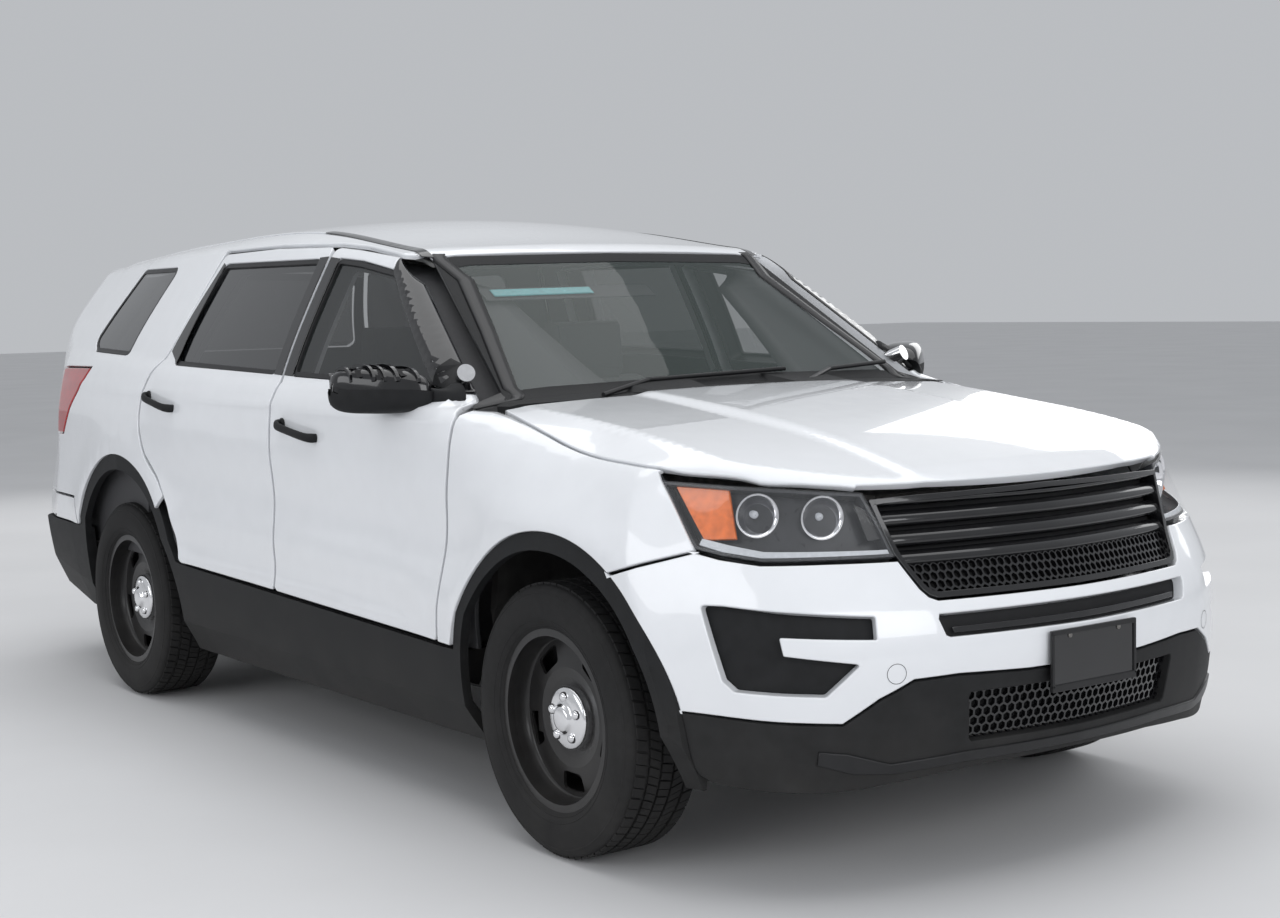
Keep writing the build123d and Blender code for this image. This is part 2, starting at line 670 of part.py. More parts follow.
# Front end
fender = (front_shell & fender_region) - hood_cut - front_wells - (front_ring - trim_inner) - cowl_region
hood_half = (front_shell & hood_region) - lamp_cut - grille_cut
hood = hood_half + mirrored(hood_half)
lamp = ((surface - under_door) & lamp_region) - hood_cut - grille_cut
bumper_half = (front_shell & bumper_region) - lamp_cut - grille_cut - slot_region - fog_region
bumper_half = bumper_half - front_wells - (front_ring - trim_inner) - hood_cut
bumper = bumper_half + mirrored(bumper_half)
tray_cut = box_between((-tray_half, tray_y, 0), (0, front_axle_y, rail_low))
valance_half = (front_shell & valance_region) - front_wells - (front_ring - trim_inner) - tray_cut
valance = valance_half + mirrored(valance_half)
fog_tray = (under_skin - under_front) & front_prism_right(fog_points, nose_y - overrun, grille_back, grow=-seat_gap)
cowl_half = (front_shell & cowl_region) - screen_cut - hood_cut
cowl = cowl_half + mirrored(cowl_half)
screen_half = screen_shell & screen_region
windscreen = screen_half + mirrored(screen_half)

# Grille: a frame, a top bar and three deep bars over a fine lower band
grille_shell = (surface - under_door) & grille_region
grille_frame = grille_shell - front_prism(grille_points, nose_y - overrun, grille_back, grow=-grille_rim)
grille_low = grille_points[0][1]
grille_high = grille_points[-1][1]
bar_pitch = (grille_high - grille_low) / (bar_count + 2)
bars = grille_frame
for index in range(bar_count + 1):
    bar_z = grille_high - bar_pitch * (index + 1)
    low = (-half_width, nose_y, bar_z - bar_height / 2)
    bars += grille_shell & box_between(low, (0, grille_back, bar_z + bar_height / 2))
slot_insert = (under_skin - under_door) & front_prism(slot_points, nose_y - overrun, grille_back, grow=-seat_gap)
grille = bars + mirrored(bars)
slot = slot_insert + mirrored(slot_insert)

# Roof, tailgate and rear end
roof_half_piece = ((surface - under_front) & roof_region) - screen_cut - gate_cut
roof = roof_half_piece + mirrored(roof_half_piece)
gate_window_points = front_points(tailgate_window_shares)
gate_window = front_prism(gate_window_points, gate_front, gate_end)
gate_half = (flange_shell & gate_region) + (core_shell & gate_core) - gate_window
tailgate = gate_half + mirrored(gate_half)
gate_glass_half = glass_shell & front_prism(gate_window_points, gate_front, gate_end, grow=-seat_gap)
gate_glass = gate_glass_half + mirrored(gate_glass_half)
rear_bumper_half = (front_shell & rear_bumper_region) - rear_wells - (rear_ring - trim_inner) - gate_cut
rear_bumper_half = rear_bumper_half - rear_valance_cut
rear_bumper = rear_bumper_half + mirrored(rear_bumper_half)
tail_lamp = ((surface - under_door) & tail_lamp_region) - gate_cut - rear_bumper_cut

# Black cladding: sills, arch trims and the rear valance
sill = ((trim_outer - trim_inner) & sill_region) - front_wells - rear_wells
arches = (trim_outer - trim_inner) & (front_ring + rear_ring)
arches = arches - front_wells - rear_wells - side_prism(front_door_points, grow=door_gap)
arches = arches - side_prism(rear_door_points, grow=door_gap)
rear_tray_cut = box_between((-tray_half, rear_axle_y, 0), (0, tail_y - tray_back, floor_low_height))
rear_valance_half = (front_shell & rear_valance_region) - rear_wells - (rear_ring - trim_inner) - rear_tray_cut
rear_valance = rear_valance_half + mirrored(rear_valance_half)
cladding_right = sill + arches


def turned(profile, at):
    """A body of revolution about a bar across the car, from (run, radius) points."""
    face = make_face(Polyline([(x, r) for x, r in profile], close=True))
    return Pos(*at) * revolve(face, axis=Axis.X)


# A right-hand wheel about its own centre: outwards is -X
def tyre_solid():
    """A tyre with flat tread, rounded shoulders and bulged side walls."""
    bead = rim_radius + bead_gap
    inside = rim_half_width - rim_lip - bead_gap
    side = [
        (inside, bead), (inside, bead + rim_flange + bead_gap), (tyre_half_width - shoulder_drop, bead + 2 * rim_flange),
        (tyre_half_width, tyre_radius - side_height), (tyre_half_width - shoulder_drop / 2, tyre_radius - shoulder_run),
        (tyre_half_width - shoulder_run, tyre_radius - shoulder_drop / 3), (tyre_half_width - 2 * shoulder_run, tyre_radius),
    ]
    profile = [*side, *[(-x, r) for x, r in reversed(side)]]
    return turned(profile, (0, 0, 0))


def rim_solid():
    """A pressed steel wheel with five windows, its brake disc behind, and a hub cap."""
    well = rim_radius - rim_thick
    flange = rim_radius + rim_flange
    shoulder = rim_half_width - rim_lip
    barrel = turned([
        (-rim_half_width, well), (-rim_half_width, flange), (-shoulder, flange), (-shoulder, rim_radius),
        (shoulder, rim_radius), (shoulder, flange), (rim_half_width, flange), (rim_half_width, well),
    ], (0, 0, 0))
    front = [(0.0, hub_face), (cap_radius * 0.7, hub_face), (dish_ridge * 0.8, dish_face), (dish_ridge, dish_face + dish_thick / 2), (well, rim_seat)]
    back = [(r, x - dish_thick) for r, x in reversed(front)]
    dish = turned([(-x, r) for r, x in [*front, *back]], (0, 0, 0))
    slot_face = make_face(Polyline([(-window_wide / 2, window_low), (window_wide / 2, window_low),
        (window_wide / 2 + window_flare, window_high), (-window_wide / 2 - window_flare, window_high)], close=True))
    slot_face = fillet(slot_face.vertices(), window_round)
    plane = Plane(origin=(-rim_half_width, 0, 0), x_dir=(0, 1, 0), z_dir=(1, 0, 0))
    window = extrude(plane * slot_face, amount=rim_half_width)
    for index in range(window_count):
        dish -= Rot(180 + 360 / window_count * index, 0, 0) * window
    disc = turned([(-disc_outer, 0), (-disc_outer, disc_radius), (disc_inner, disc_radius), (disc_inner, 0)], (0, 0, 0))
    bell = turned([(-hub_face + dish_thick / 2, 0), (-hub_face + dish_thick / 2, cap_radius * 0.8), (-disc_outer, cap_radius * 0.8), (-disc_outer, 0)], (0, 0, 0))
    cap = turned([(-hub_face, 0), (-hub_face, cap_radius * 0.6), (-dish_face - dish_thick / 2, cap_radius), (-dish_face - dish_thick - cap_rise / 2, cap_radius),
        (-dish_face - dish_thick - cap_rise, cap_radius * 0.6), (-dish_face - dish_thick - cap_rise * 1.5, 0)], (0, 0, 0))
    lugs = [Rot(360 / lug_count * index + 36, 0, 0) * Pos(-dish_face - dish_thick - cap_rise / 2, 0, lug_circle) * Cylinder(lug_radius, cap_rise * 2, rotation=(0, 90, 0)) for index in range(lug_count)]
    solid = barrel + dish + disc + bell + cap
    for lug in lugs:
        solid += lug
    return solid


tyre_shape = tyre_solid()
rim_shape = rim_solid()
wheel_places = {
    "front_left": (wheel_x, front_axle_y), "front_right": (-wheel_x, front_axle_y),
    "rear_left": (wheel_x, rear_axle_y), "rear_right": (-wheel_x, rear_axle_y),
}

# Steering pivot, leaning in at the top
pivot_low = Vector(-pivot_low_x, front_axle_y, pivot_low_z)
pivot_top = Vector(-pivot_top_x, front_axle_y, pivot_top_z)
pivot_dir = (pivot_top - pivot_low).normalized()
pivot_len = (pivot_top - pivot_low).length


def on_pivot(radius, start, end):
    """A round bar along the right-hand steering pivot, by distances from its ball joint."""
    plane = Plane(origin=pivot_low + pivot_dir * start, z_dir=pivot_dir)
    return extrude(plane * Circle(radius), amount=end - start)


hub_x = wheel_x - disc_inner - seat_gap
carrier = across(front_axle_y, axle_z, carrier_radius, -hub_x, -hub_x + carrier_run)
upright = box_between((-hub_x + disc_gap, front_axle_y - upright_half, pivot_low_z + ball_run), (-hub_x + disc_gap + upright_thick, front_axle_y + upright_half, axle_z + upright_rise))
knuckle = carrier + upright + on_pivot(strut_radius, strut_start, pivot_len - spring_run) + on_pivot(ball_radius, 0, ball_run * 2)
clamp_z = axle_z + upright_rise - clamp_height
clamp_x = pivot_low_x - (clamp_z - pivot_low_z) * (pivot_low_x - pivot_top_x) / (pivot_top_z - pivot_low_z)
clamp_low = (-hub_x + disc_gap, front_axle_y - upright_half, clamp_z)
clamp = box_between(clamp_low, (-clamp_x, front_axle_y + upright_half, clamp_z + clamp_height))
knuckle = knuckle + clamp + on_pivot(spring_radius, pivot_len - spring_run, pivot_len)
caliper_y = front_axle_y + disc_radius - caliper_deep / 2
caliper_low = (-wheel_x - disc_outer - disc_gap - caliper_wall, front_axle_y + disc_radius - caliper_deep, axle_z - caliper_half)
caliper_high = (-hub_x + disc_gap + upright_thick, front_axle_y + disc_radius + disc_gap + caliper_wall, axle_z + caliper_half)
caliper = box_between(caliper_low, caliper_high) - across(front_axle_y, axle_z, disc_radius + disc_gap, -wheel_x - disc_outer - disc_gap, -hub_x + disc_gap)
caliper_arm = box_between((-hub_x + disc_gap, front_axle_y + upright_half - seat_gap, axle_z - caliper_half), (-hub_x + disc_gap + upright_thick, caliper_high[1], axle_z + caliper_half))
knuckle = knuckle + caliper + caliper_arm

# Chassis: rails, strut towers, subframes, arms and rear carriers
rail_x = front_well_inner - rail_gap
wall_lean = firewall_slope / (firewall_high - firewall_foot)
rail_end = post_front + wall_lean * (firewall_high - rail_high) - seat_gap
rails = box_between((-rail_x, beam_y, rail_low), (-rail_x + rail_wide, rail_end, rail_high))
tower_wall = box_between((-rail_x, front_axle_y - tower_half, rail_high), (-rail_x + tower_thick, front_axle_y + tower_half, pivot_top_z + tower_rise))
tower_top = box_between((-pivot_top_x - tower_half, front_axle_y - tower_half, pivot_top_z + tower_rise - tower_thick), (-rail_x + tower_thick, front_axle_y + tower_half, pivot_top_z + tower_rise))
bearing = on_pivot(spring_radius, pivot_len + seat_gap, pivot_len + tower_rise)
arm_face = make_face(Polyline([(-pivot_low_x - ball_radius, front_axle_y - ball_radius), (-pivot_low_x - ball_radius, front_axle_y + ball_radius), (-arm_root_x, front_axle_y + arm_spread), (-arm_root_x, front_axle_y - arm_spread)], close=True))
arm = Pos(0, 0, pivot_low_z - ball_run - arm_thick) * extrude(arm_face, amount=arm_thick)
ball = on_pivot(ball_radius, -ball_run - arm_thick / 2, -seat_gap)
cradle = box_between((-arm_root_x - overlap_run, front_axle_y - arm_spread, pivot_low_z - ball_run - arm_thick), (0, front_axle_y + arm_spread, pivot_low_z + cradle_rise))
rail_post = box_between((-rail_x, front_axle_y - post_half, pivot_low_z), (-rail_x + rail_wide, front_axle_y + post_half, rail_low))
crash_beam = box_between((-rail_x - rail_wide, beam_y - beam_thick, rail_low), (0, beam_y, rail_high))
rack = across(front_axle_y + arm_spread + rack_radius / 2, pivot_low_z + rack_radius, rack_radius, -arm_root_x, 0)
front_chassis = rails + tower_wall + tower_top + bearing + arm + ball + cradle + rail_post + crash_beam + rack
rear_carrier = across(rear_axle_y, axle_z, carrier_radius, -hub_x, -hub_x + carrier_run * 2)
rear_link = box_between((-hub_x + carrier_run, rear_axle_y - upright_half, axle_z - upright_half), (0, rear_axle_y + upright_half, axle_z + upright_half))
rear_frame_top = floor_high - floor_thick - seat_gap
rear_frame = box_between((-rear_frame_x, rear_axle_y - arm_spread, axle_z - upright_half), (0, rear_axle_y + arm_spread, rear_frame_top))
spring = Pos(-rear_spring_x, rear_axle_y, (axle_z + upright_half + rear_frame_top) / 2) * Cylinder(spring_radius, rear_frame_top - axle_z - upright_half)
rear_chassis = rear_carrier + rear_link + rear_frame + spring
front_suspension = front_chassis + mirrored(front_chassis)
rear_suspension = rear_chassis + mirrored(rear_chassis)

# Floor, firewall and rear wheelhouses
wall_y = post_front + floor_thick
floor_points = [
    (wall_y, firewall_high), (wall_y + firewall_slope, firewall_foot), (wall_y + toe_foot, floor_low_height + toe_foot / 2),
    (wall_y + toe_run, floor_low_height), (kick_y, floor_low_height), (kick_y + kick_run, floor_high), (floor_end, floor_high),
    (floor_end, floor_high - floor_thick), (kick_y + kick_run, floor_high - floor_thick),
    (kick_y, floor_low_height - floor_thick), (wall_y + toe_run, floor_low_height - floor_thick),
    (wall_y + toe_foot - floor_thick, floor_low_height + toe_foot / 2 - floor_thick),
    (wall_y + firewall_slope - floor_thick, firewall_foot), (wall_y - floor_thick, firewall_high),
]
floor_half = side_prism(floor_points, x_from=-side_reach, x_to=0) & under_body
front_liner = across(front_well_y, axle_z, front_opening_radius + liner_thick, -side_reach, -front_well_inner + liner_thick)
rear_liner = across(rear_axle_y, axle_z, rear_opening_radius + liner_thick, -side_reach, -rear_well_inner + liner_thick)
above_floor = box_between((-side_reach, rear_axle_y - rear_opening_radius - overrun, floor_high - floor_thick), (0, tail_y, roof_height))
house = ((rear_liner - rear_wells) & above_floor) & under_body
floor_half = floor_half - front_liner - rear_liner + house
floor_pan = floor_half + mirrored(floor_half)

# Engine and gearbox as one block, with the radiator, the exhaust and the tank
engine = box_between((-engine_half, engine_front, engine_low), (engine_half, engine_back, engine_high))
radiator = box_between((-radiator_half, beam_y + seat_gap, radiator_low), (radiator_half, beam_y + radiator_thick, radiator_high))
powertrain = joined([engine, radiator])
pipe_z = floor_low_height - floor_thick - pipe_radius - seat_gap
pipe_end = along(pipe_end_share)
muffler_y = along(muffler_share)
front_pipe = Pos(0, (engine_back + pipe_end) / 2, pipe_z) * Cylinder(pipe_radius, pipe_end - engine_back, rotation=(90, 0, 0))
tank = box_between((tank_inner, along(tank_front_share), pipe_z), (tank_outer, along(tank_back_share), floor_high - floor_thick - seat_gap))
muffler = box_between((-muffler_half, muffler_y, floor_high - floor_thick - seat_gap - muffler_high), (muffler_half, muffler_y + muffler_long, floor_high - floor_thick - seat_gap))
tip_z = floor_high - floor_thick - muffler_high / 2
tip_end = tail_y - tip_short
tip = Pos(-tip_x, (muffler_y + muffler_long + tip_end) / 2, tip_z) * Cylinder(tip_radius, tip_end - muffler_y - muffler_long, rotation=(90, 0, 0))
exhaust = joined([front_pipe, muffler + tip + mirrored(tip)])
rear_valance = rear_valance - Pos(-tip_x, tail_y, tip_z) * Cylinder(tip_radius + tip_gap, overrun, rotation=(90, 0, 0))
rear_valance = rear_valance - Pos(tip_x, tail_y, tip_z) * Cylinder(tip_radius + tip_gap, overrun, rotation=(90, 0, 0))

# Dashboard with the steering wheel, seats
dash_half = side_prism(side_points(dash_shares), x_to=0) & under_body
dash = dash_half + mirrored(dash_half)
column_dir = Vector(0, -math.cos(math.radians(column_angle)), -math.sin(math.radians(column_angle)))
column_top = Vector(driver_x, along(column_share), column_z)
column_plane = Plane(origin=column_top, z_dir=column_dir)
steering_rim = column_plane * Torus(steering_radius, steering_tube)
steering_boss = extrude(column_plane * Circle(column_radius), amount=column_run)
spoke = column_plane * Box(2 * steering_radius, spoke_wide, steering_tube)
dash = dash + steering_rim + steering_boss + spoke


def seat(points, middle, wide):
    """A seat from its side outline."""
    outline = make_face(Polyline([(y, z) for y, z in points], close=True))
    outline = fillet(outline.vertices(), seat_round)
    plane = Plane(origin=(middle - wide / 2, 0, 0), x_dir=(0, 1, 0), z_dir=(1, 0, 0))
    return extrude(plane * outline, amount=wide)


front_seat = seat(side_points(front_seat_shares), -driver_x, front_seat_wide) + seat(side_points(headrest_shares), -driver_x, headrest_wide)
front_seats = both(front_seat)
rear_seat = seat(side_points(rear_seat_shares), 0, rear_seat_wide)

# Door furniture

def handle(shares):
    """A pull handle on a door's skin."""
    (y0, z0), (y1, z1) = side_points(shares)
    bar = box_between((-half_width - handle_proud, y0, z0 - handle_high / 2), (-half_width + handle_deep, y1, z1 + handle_high / 2))
    return bar - surface


(mirror_y0, mirror_z0), (mirror_y1, mirror_z1) = side_points(mirror_shares)
mirror_head = box_between((-mirror_reach, mirror_y0, mirror_z0), (-half_width - mirror_inner, mirror_y1, mirror_z1))
mirror_head = fillet(mirror_head.edges(), mirror_round)
mirror_arm = box_between((-half_width - mirror_inner - mirror_round, mirror_y0 + mirror_round, mirror_z0 + mirror_round), (-half_width + mirror_sink, mirror_y1 - mirror_round, mirror_z0 + mirror_round + mirror_arm_high))
door_mirror = mirror_head + (mirror_arm - surface)
front_trim = joined([door_mirror, handle(front_handle_shares)])
rear_trim = handle(rear_handle_shares)

# Number plate on its bracket
plate_z = plate_share * roof_height
plate_box = box_between((-plate_half, nose_y - plate_proud, plate_z - plate_high / 2), (plate_half, nose_y + overrun / 2, plate_z + plate_high / 2))
plate_box = plate_box - (surface + mirrored(surface))
for side in (-1, 1):
    hole_at = Pos(side * plate_spacing / 2, nose_y, plate_z + plate_high / 2 - plate_margin)
    plate_drill = hole_at * Cylinder(plate_hole, overrun, rotation=(90, 0, 0))
    plate_box -= plate_drill
    bumper -= plate_drill
plate = [piece for piece in plate_box.solids() if piece.center().Y < nose_y + plate_proud][0]

# Antenna fin, wipers and spot lamp bases
fin_face = make_face(Polyline([(y, z) for y, z in side_points(fin_shares)], close=True))
fin_plane = Plane(origin=(-fin_thick / 2, 0, 0), x_dir=(0, 1, 0), z_dir=(1, 0, 0))
fin = extrude(fin_plane * fin_face, amount=fin_thick) - (surface + mirrored(surface))
fin = sorted(fin.solids(), key=lambda piece: piece.volume)[-1]


def rod(start, end, radius):
    """A straight round bar between two points."""
    run = Vector(*end) - Vector(*start)
    plane = Plane(origin=start, z_dir=run.normalized())
    return extrude(plane * Circle(radius), amount=run.length)


spot_face = Vector(-spot_x * half_width, along(spot_share), spot_height * roof_height)
spot_dir = Vector(-0.3, -0.85, 0.35).normalized()
spot_base = rod(spot_face - spot_dir * spot_run, spot_face + spot_dir * spot_run, spot_radius) - surface
spot_base = sorted(spot_base.solids(), key=lambda piece: piece.center().Y)[0]

wiper_rods = []
for hub, elbow, end_point in wiper_shares:
    points = [(w * half_width, along(s), h * roof_height) for w, s, h in (hub, elbow, end_point)]
    wiper_rods += [rod(points[0], points[1], wiper_radius), rod(points[1], points[2], wiper_radius)]
wipers = joined([wiper_rods[0] + wiper_rods[1], wiper_rods[2] + wiper_rods[3]]) - (surface + mirrored(surface))

# Written pieces
parts = {
    "body_side_right": body_side,
    "body_side_left": mirrored(body_side),
    "roof": roof,
    "floor_pan": floor_pan,
    "fender_right": fender,
    "fender_left": mirrored(fender),
    "front_bumper": bumper,
    "lower_valance": joined([valance, fog_tray, mirrored(fog_tray)]),
    "grille": joined([grille, slot]),
    "headlamps": both(lamp),
    "windscreen": windscreen,
    "cowl": cowl,
    "wipers": wipers,
    "quarter_glass": both(quarter_glass),
    "rear_bumper": rear_bumper,
    "rear_valance": rear_valance,
    "tail_lamps": both(tail_lamp),
    "sills_and_arches": both(cladding_right),
    "dashboard": dash,
    "front_seats": front_seats,
    "rear_seat": rear_seat,
    "powertrain": powertrain,
    "front_suspension": front_suspension,
    "rear_suspension": rear_suspension,
    "exhaust": exhaust,
    "fuel_tank": tank,
    "front_plate": plate,
    "spot_lamp_bases": both(spot_base),
    "antenna_fin": fin,
    "front_door_right": front_door,
    "front_door_left": mirrored(front_door),
    "front_door_glass_right": front_glass,
    "front_door_glass_left": mirrored(front_glass),
    "front_door_trim_right": front_trim,
    "front_door_trim_left": mirrored(front_trim),
    "rear_door_right": rear_door,
    "rear_door_left": mirrored(rear_door),
    "rear_door_glass_right": rear_glass,
    "rear_door_glass_left": mirrored(rear_glass),
    "rear_door_trim_right": rear_trim,
    "rear_door_trim_left": mirrored(rear_trim),
    "tailgate": tailgate,
    "tailgate_glass": gate_glass,
    "hood": hood,
    "knuckle_front_right": knuckle,
    "knuckle_front_left": mirrored(knuckle),
}
for place, (x, y) in wheel_places.items():
    side = mirrored if x > 0 else lambda shape: shape
    parts[f"tyre_{place}"] = Pos(x, y, axle_z) * side(tyre_shape)
    parts[f"rim_{place}"] = Pos(x, y, axle_z) * side(rim_shape)

os.makedirs("parts", exist_ok=True)
for name, shape in parts.items():
    export_step(shape, f"parts/{name}.step")
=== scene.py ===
import math

import bpy
import numpy as np
from mathutils import Matrix, Vector
from mathutils.geometry import delaunay_2d_cdt


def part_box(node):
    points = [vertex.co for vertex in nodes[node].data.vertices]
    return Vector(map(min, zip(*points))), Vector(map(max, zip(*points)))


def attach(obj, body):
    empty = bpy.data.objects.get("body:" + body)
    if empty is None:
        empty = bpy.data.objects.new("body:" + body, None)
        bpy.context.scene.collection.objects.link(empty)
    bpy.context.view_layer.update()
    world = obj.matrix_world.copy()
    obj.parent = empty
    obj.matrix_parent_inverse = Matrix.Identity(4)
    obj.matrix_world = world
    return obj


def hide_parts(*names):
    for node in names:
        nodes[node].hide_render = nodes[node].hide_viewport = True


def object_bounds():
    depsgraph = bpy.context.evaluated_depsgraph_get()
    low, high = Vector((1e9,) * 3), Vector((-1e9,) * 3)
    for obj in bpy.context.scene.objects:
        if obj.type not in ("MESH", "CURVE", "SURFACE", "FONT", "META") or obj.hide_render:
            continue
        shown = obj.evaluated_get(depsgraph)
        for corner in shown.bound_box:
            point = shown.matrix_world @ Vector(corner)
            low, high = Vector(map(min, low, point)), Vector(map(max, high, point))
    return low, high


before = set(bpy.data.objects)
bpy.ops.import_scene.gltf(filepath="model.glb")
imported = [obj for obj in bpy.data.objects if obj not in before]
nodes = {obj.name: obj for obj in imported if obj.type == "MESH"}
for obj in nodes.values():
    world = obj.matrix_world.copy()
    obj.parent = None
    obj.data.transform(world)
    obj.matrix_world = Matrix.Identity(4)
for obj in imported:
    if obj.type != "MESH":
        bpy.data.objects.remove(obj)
cad_low, cad_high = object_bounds()

# Camera and stage
AZ, EL, ROLL = math.radians(-36.15), math.radians(4.73), math.radians(-1.23)
cam_data = bpy.data.cameras.new("camera")
cam_data.lens = 55.2
cam_data.sensor_width = 36.0
cam = bpy.data.objects.new("camera", cam_data)
bpy.context.scene.collection.objects.link(cam)
back = Vector((math.sin(AZ) * math.cos(EL), -math.cos(AZ) * math.cos(EL), math.sin(EL)))
right = (-back).cross(Vector((0, 0, 1))).normalized()
up = right.cross(-back)
c, s = math.cos(ROLL), math.sin(ROLL)
r2, u2 = c * right + s * up, -s * right + c * up
turn = Matrix((r2, u2, back)).transposed().to_4x4()
cam.matrix_world = Matrix.Translation(Vector((-3.727, -5.742, 1.456))) @ turn
cam_data.clip_end = 100
bpy.context.scene.camera = cam
bpy.context.scene.view_settings.view_transform = "Standard"

# Materials
def material(name, colour, rough=0.5, metal=0.0, coat=0.0, coat_rough=0.03, specular=0.5,
             scale=60.0, vary=0.06, bump=0.0, bump_scale=400.0, rough_vary=0.08, sheen=0.0,
             dust=0.0, dust_top=0.5,
             dust_colour=(0.42, 0.39, 0.35)):
    m = bpy.data.materials.new(name)
    m.use_nodes = True
    nt = m.node_tree
    p = nt.nodes["Principled BSDF"]
    tc = nt.nodes.new("ShaderNodeTexCoord")
    n1 = nt.nodes.new("ShaderNodeTexNoise")
    n1.inputs["Scale"].default_value = scale
    n1.inputs["Detail"].default_value = 5.0
    nt.links.new(tc.outputs["Object"], n1.inputs["Vector"])
    ramp = nt.nodes.new("ShaderNodeValToRGB")
    dark = [max(0.0, v * (1 - vary)) for v in colour]
    light = [min(1.0, v * (1 + vary)) for v in colour]
    ramp.color_ramp.elements[0].position = 0.3
    ramp.color_ramp.elements[0].color = (*dark, 1)
    ramp.color_ramp.elements[1].position = 0.7
    ramp.color_ramp.elements[1].color = (*light, 1)
    nt.links.new(n1.outputs["Fac"], ramp.inputs["Fac"])
    colour_out = ramp.outputs["Color"]
    if dust:
        sep = nt.nodes.new("ShaderNodeSeparateXYZ")
        nt.links.new(tc.outputs["Object"], sep.inputs["Vector"])
        mr = nt.nodes.new("ShaderNodeMapRange")
        mr.inputs["From Min"].default_value = dust_top
        mr.inputs["From Max"].default_value = 0.0
        mr.inputs["To Min"].default_value = 0.0
        mr.inputs["To Max"].default_value = dust
        nt.links.new(sep.outputs["Z"], mr.inputs["Value"])
        n3 = nt.nodes.new("ShaderNodeTexNoise")
        n3.inputs["Scale"].default_value = 7.0
        n3.inputs["Detail"].default_value = 8.0
        nt.links.new(tc.outputs["Object"], n3.inputs["Vector"])
        mul = nt.nodes.new("ShaderNodeMath")
        mul.operation = "MULTIPLY"
        nt.links.new(mr.outputs["Result"], mul.inputs[0])
        nt.links.new(n3.outputs["Fac"], mul.inputs[1])
        mix = nt.nodes.new("ShaderNodeMix")
        mix.data_type = "RGBA"
        mix.inputs["B"].default_value = (*dust_colour, 1)
        nt.links.new(mul.outputs["Value"], mix.inputs["Factor"])
        nt.links.new(colour_out, mix.inputs["A"])
        colour_out = mix.outputs["Result"]
    nt.links.new(colour_out, p.inputs["Base Color"])
    rr = nt.nodes.new("ShaderNodeMapRange")
    rr.inputs["To Min"].default_value = max(0.0, rough - rough_vary)
    rr.inputs["To Max"].default_value = min(1.0, rough + rough_vary)
    nt.links.new(n1.outputs["Fac"], rr.inputs["Value"])
    nt.links.new(rr.outputs["Result"], p.inputs["Roughness"])
    p.inputs["Metallic"].default_value = metal
    p.inputs["Specular IOR Level"].default_value = specular
    p.inputs["IOR"].default_value = 1.45
    p.inputs["Coat Weight"].default_value = coat
    p.inputs["Coat Roughness"].default_value = coat_rough
    p.inputs["Sheen Weight"].default_value = sheen
    if bump:
        n2 = nt.nodes.new("ShaderNodeTexNoise")
        n2.inputs["Scale"].default_value = bump_scale
        n2.inputs["Detail"].default_value = 3.0
        nt.links.new(tc.outputs["Object"], n2.inputs["Vector"])
        bn = nt.nodes.new("ShaderNodeBump")
        bn.inputs["Strength"].default_value = bump
        bn.inputs["Distance"].default_value = 0.002
        nt.links.new(n2.outputs["Fac"], bn.inputs["Height"])
        nt.links.new(bn.outputs["Normal"], p.inputs["Normal"])
    return m


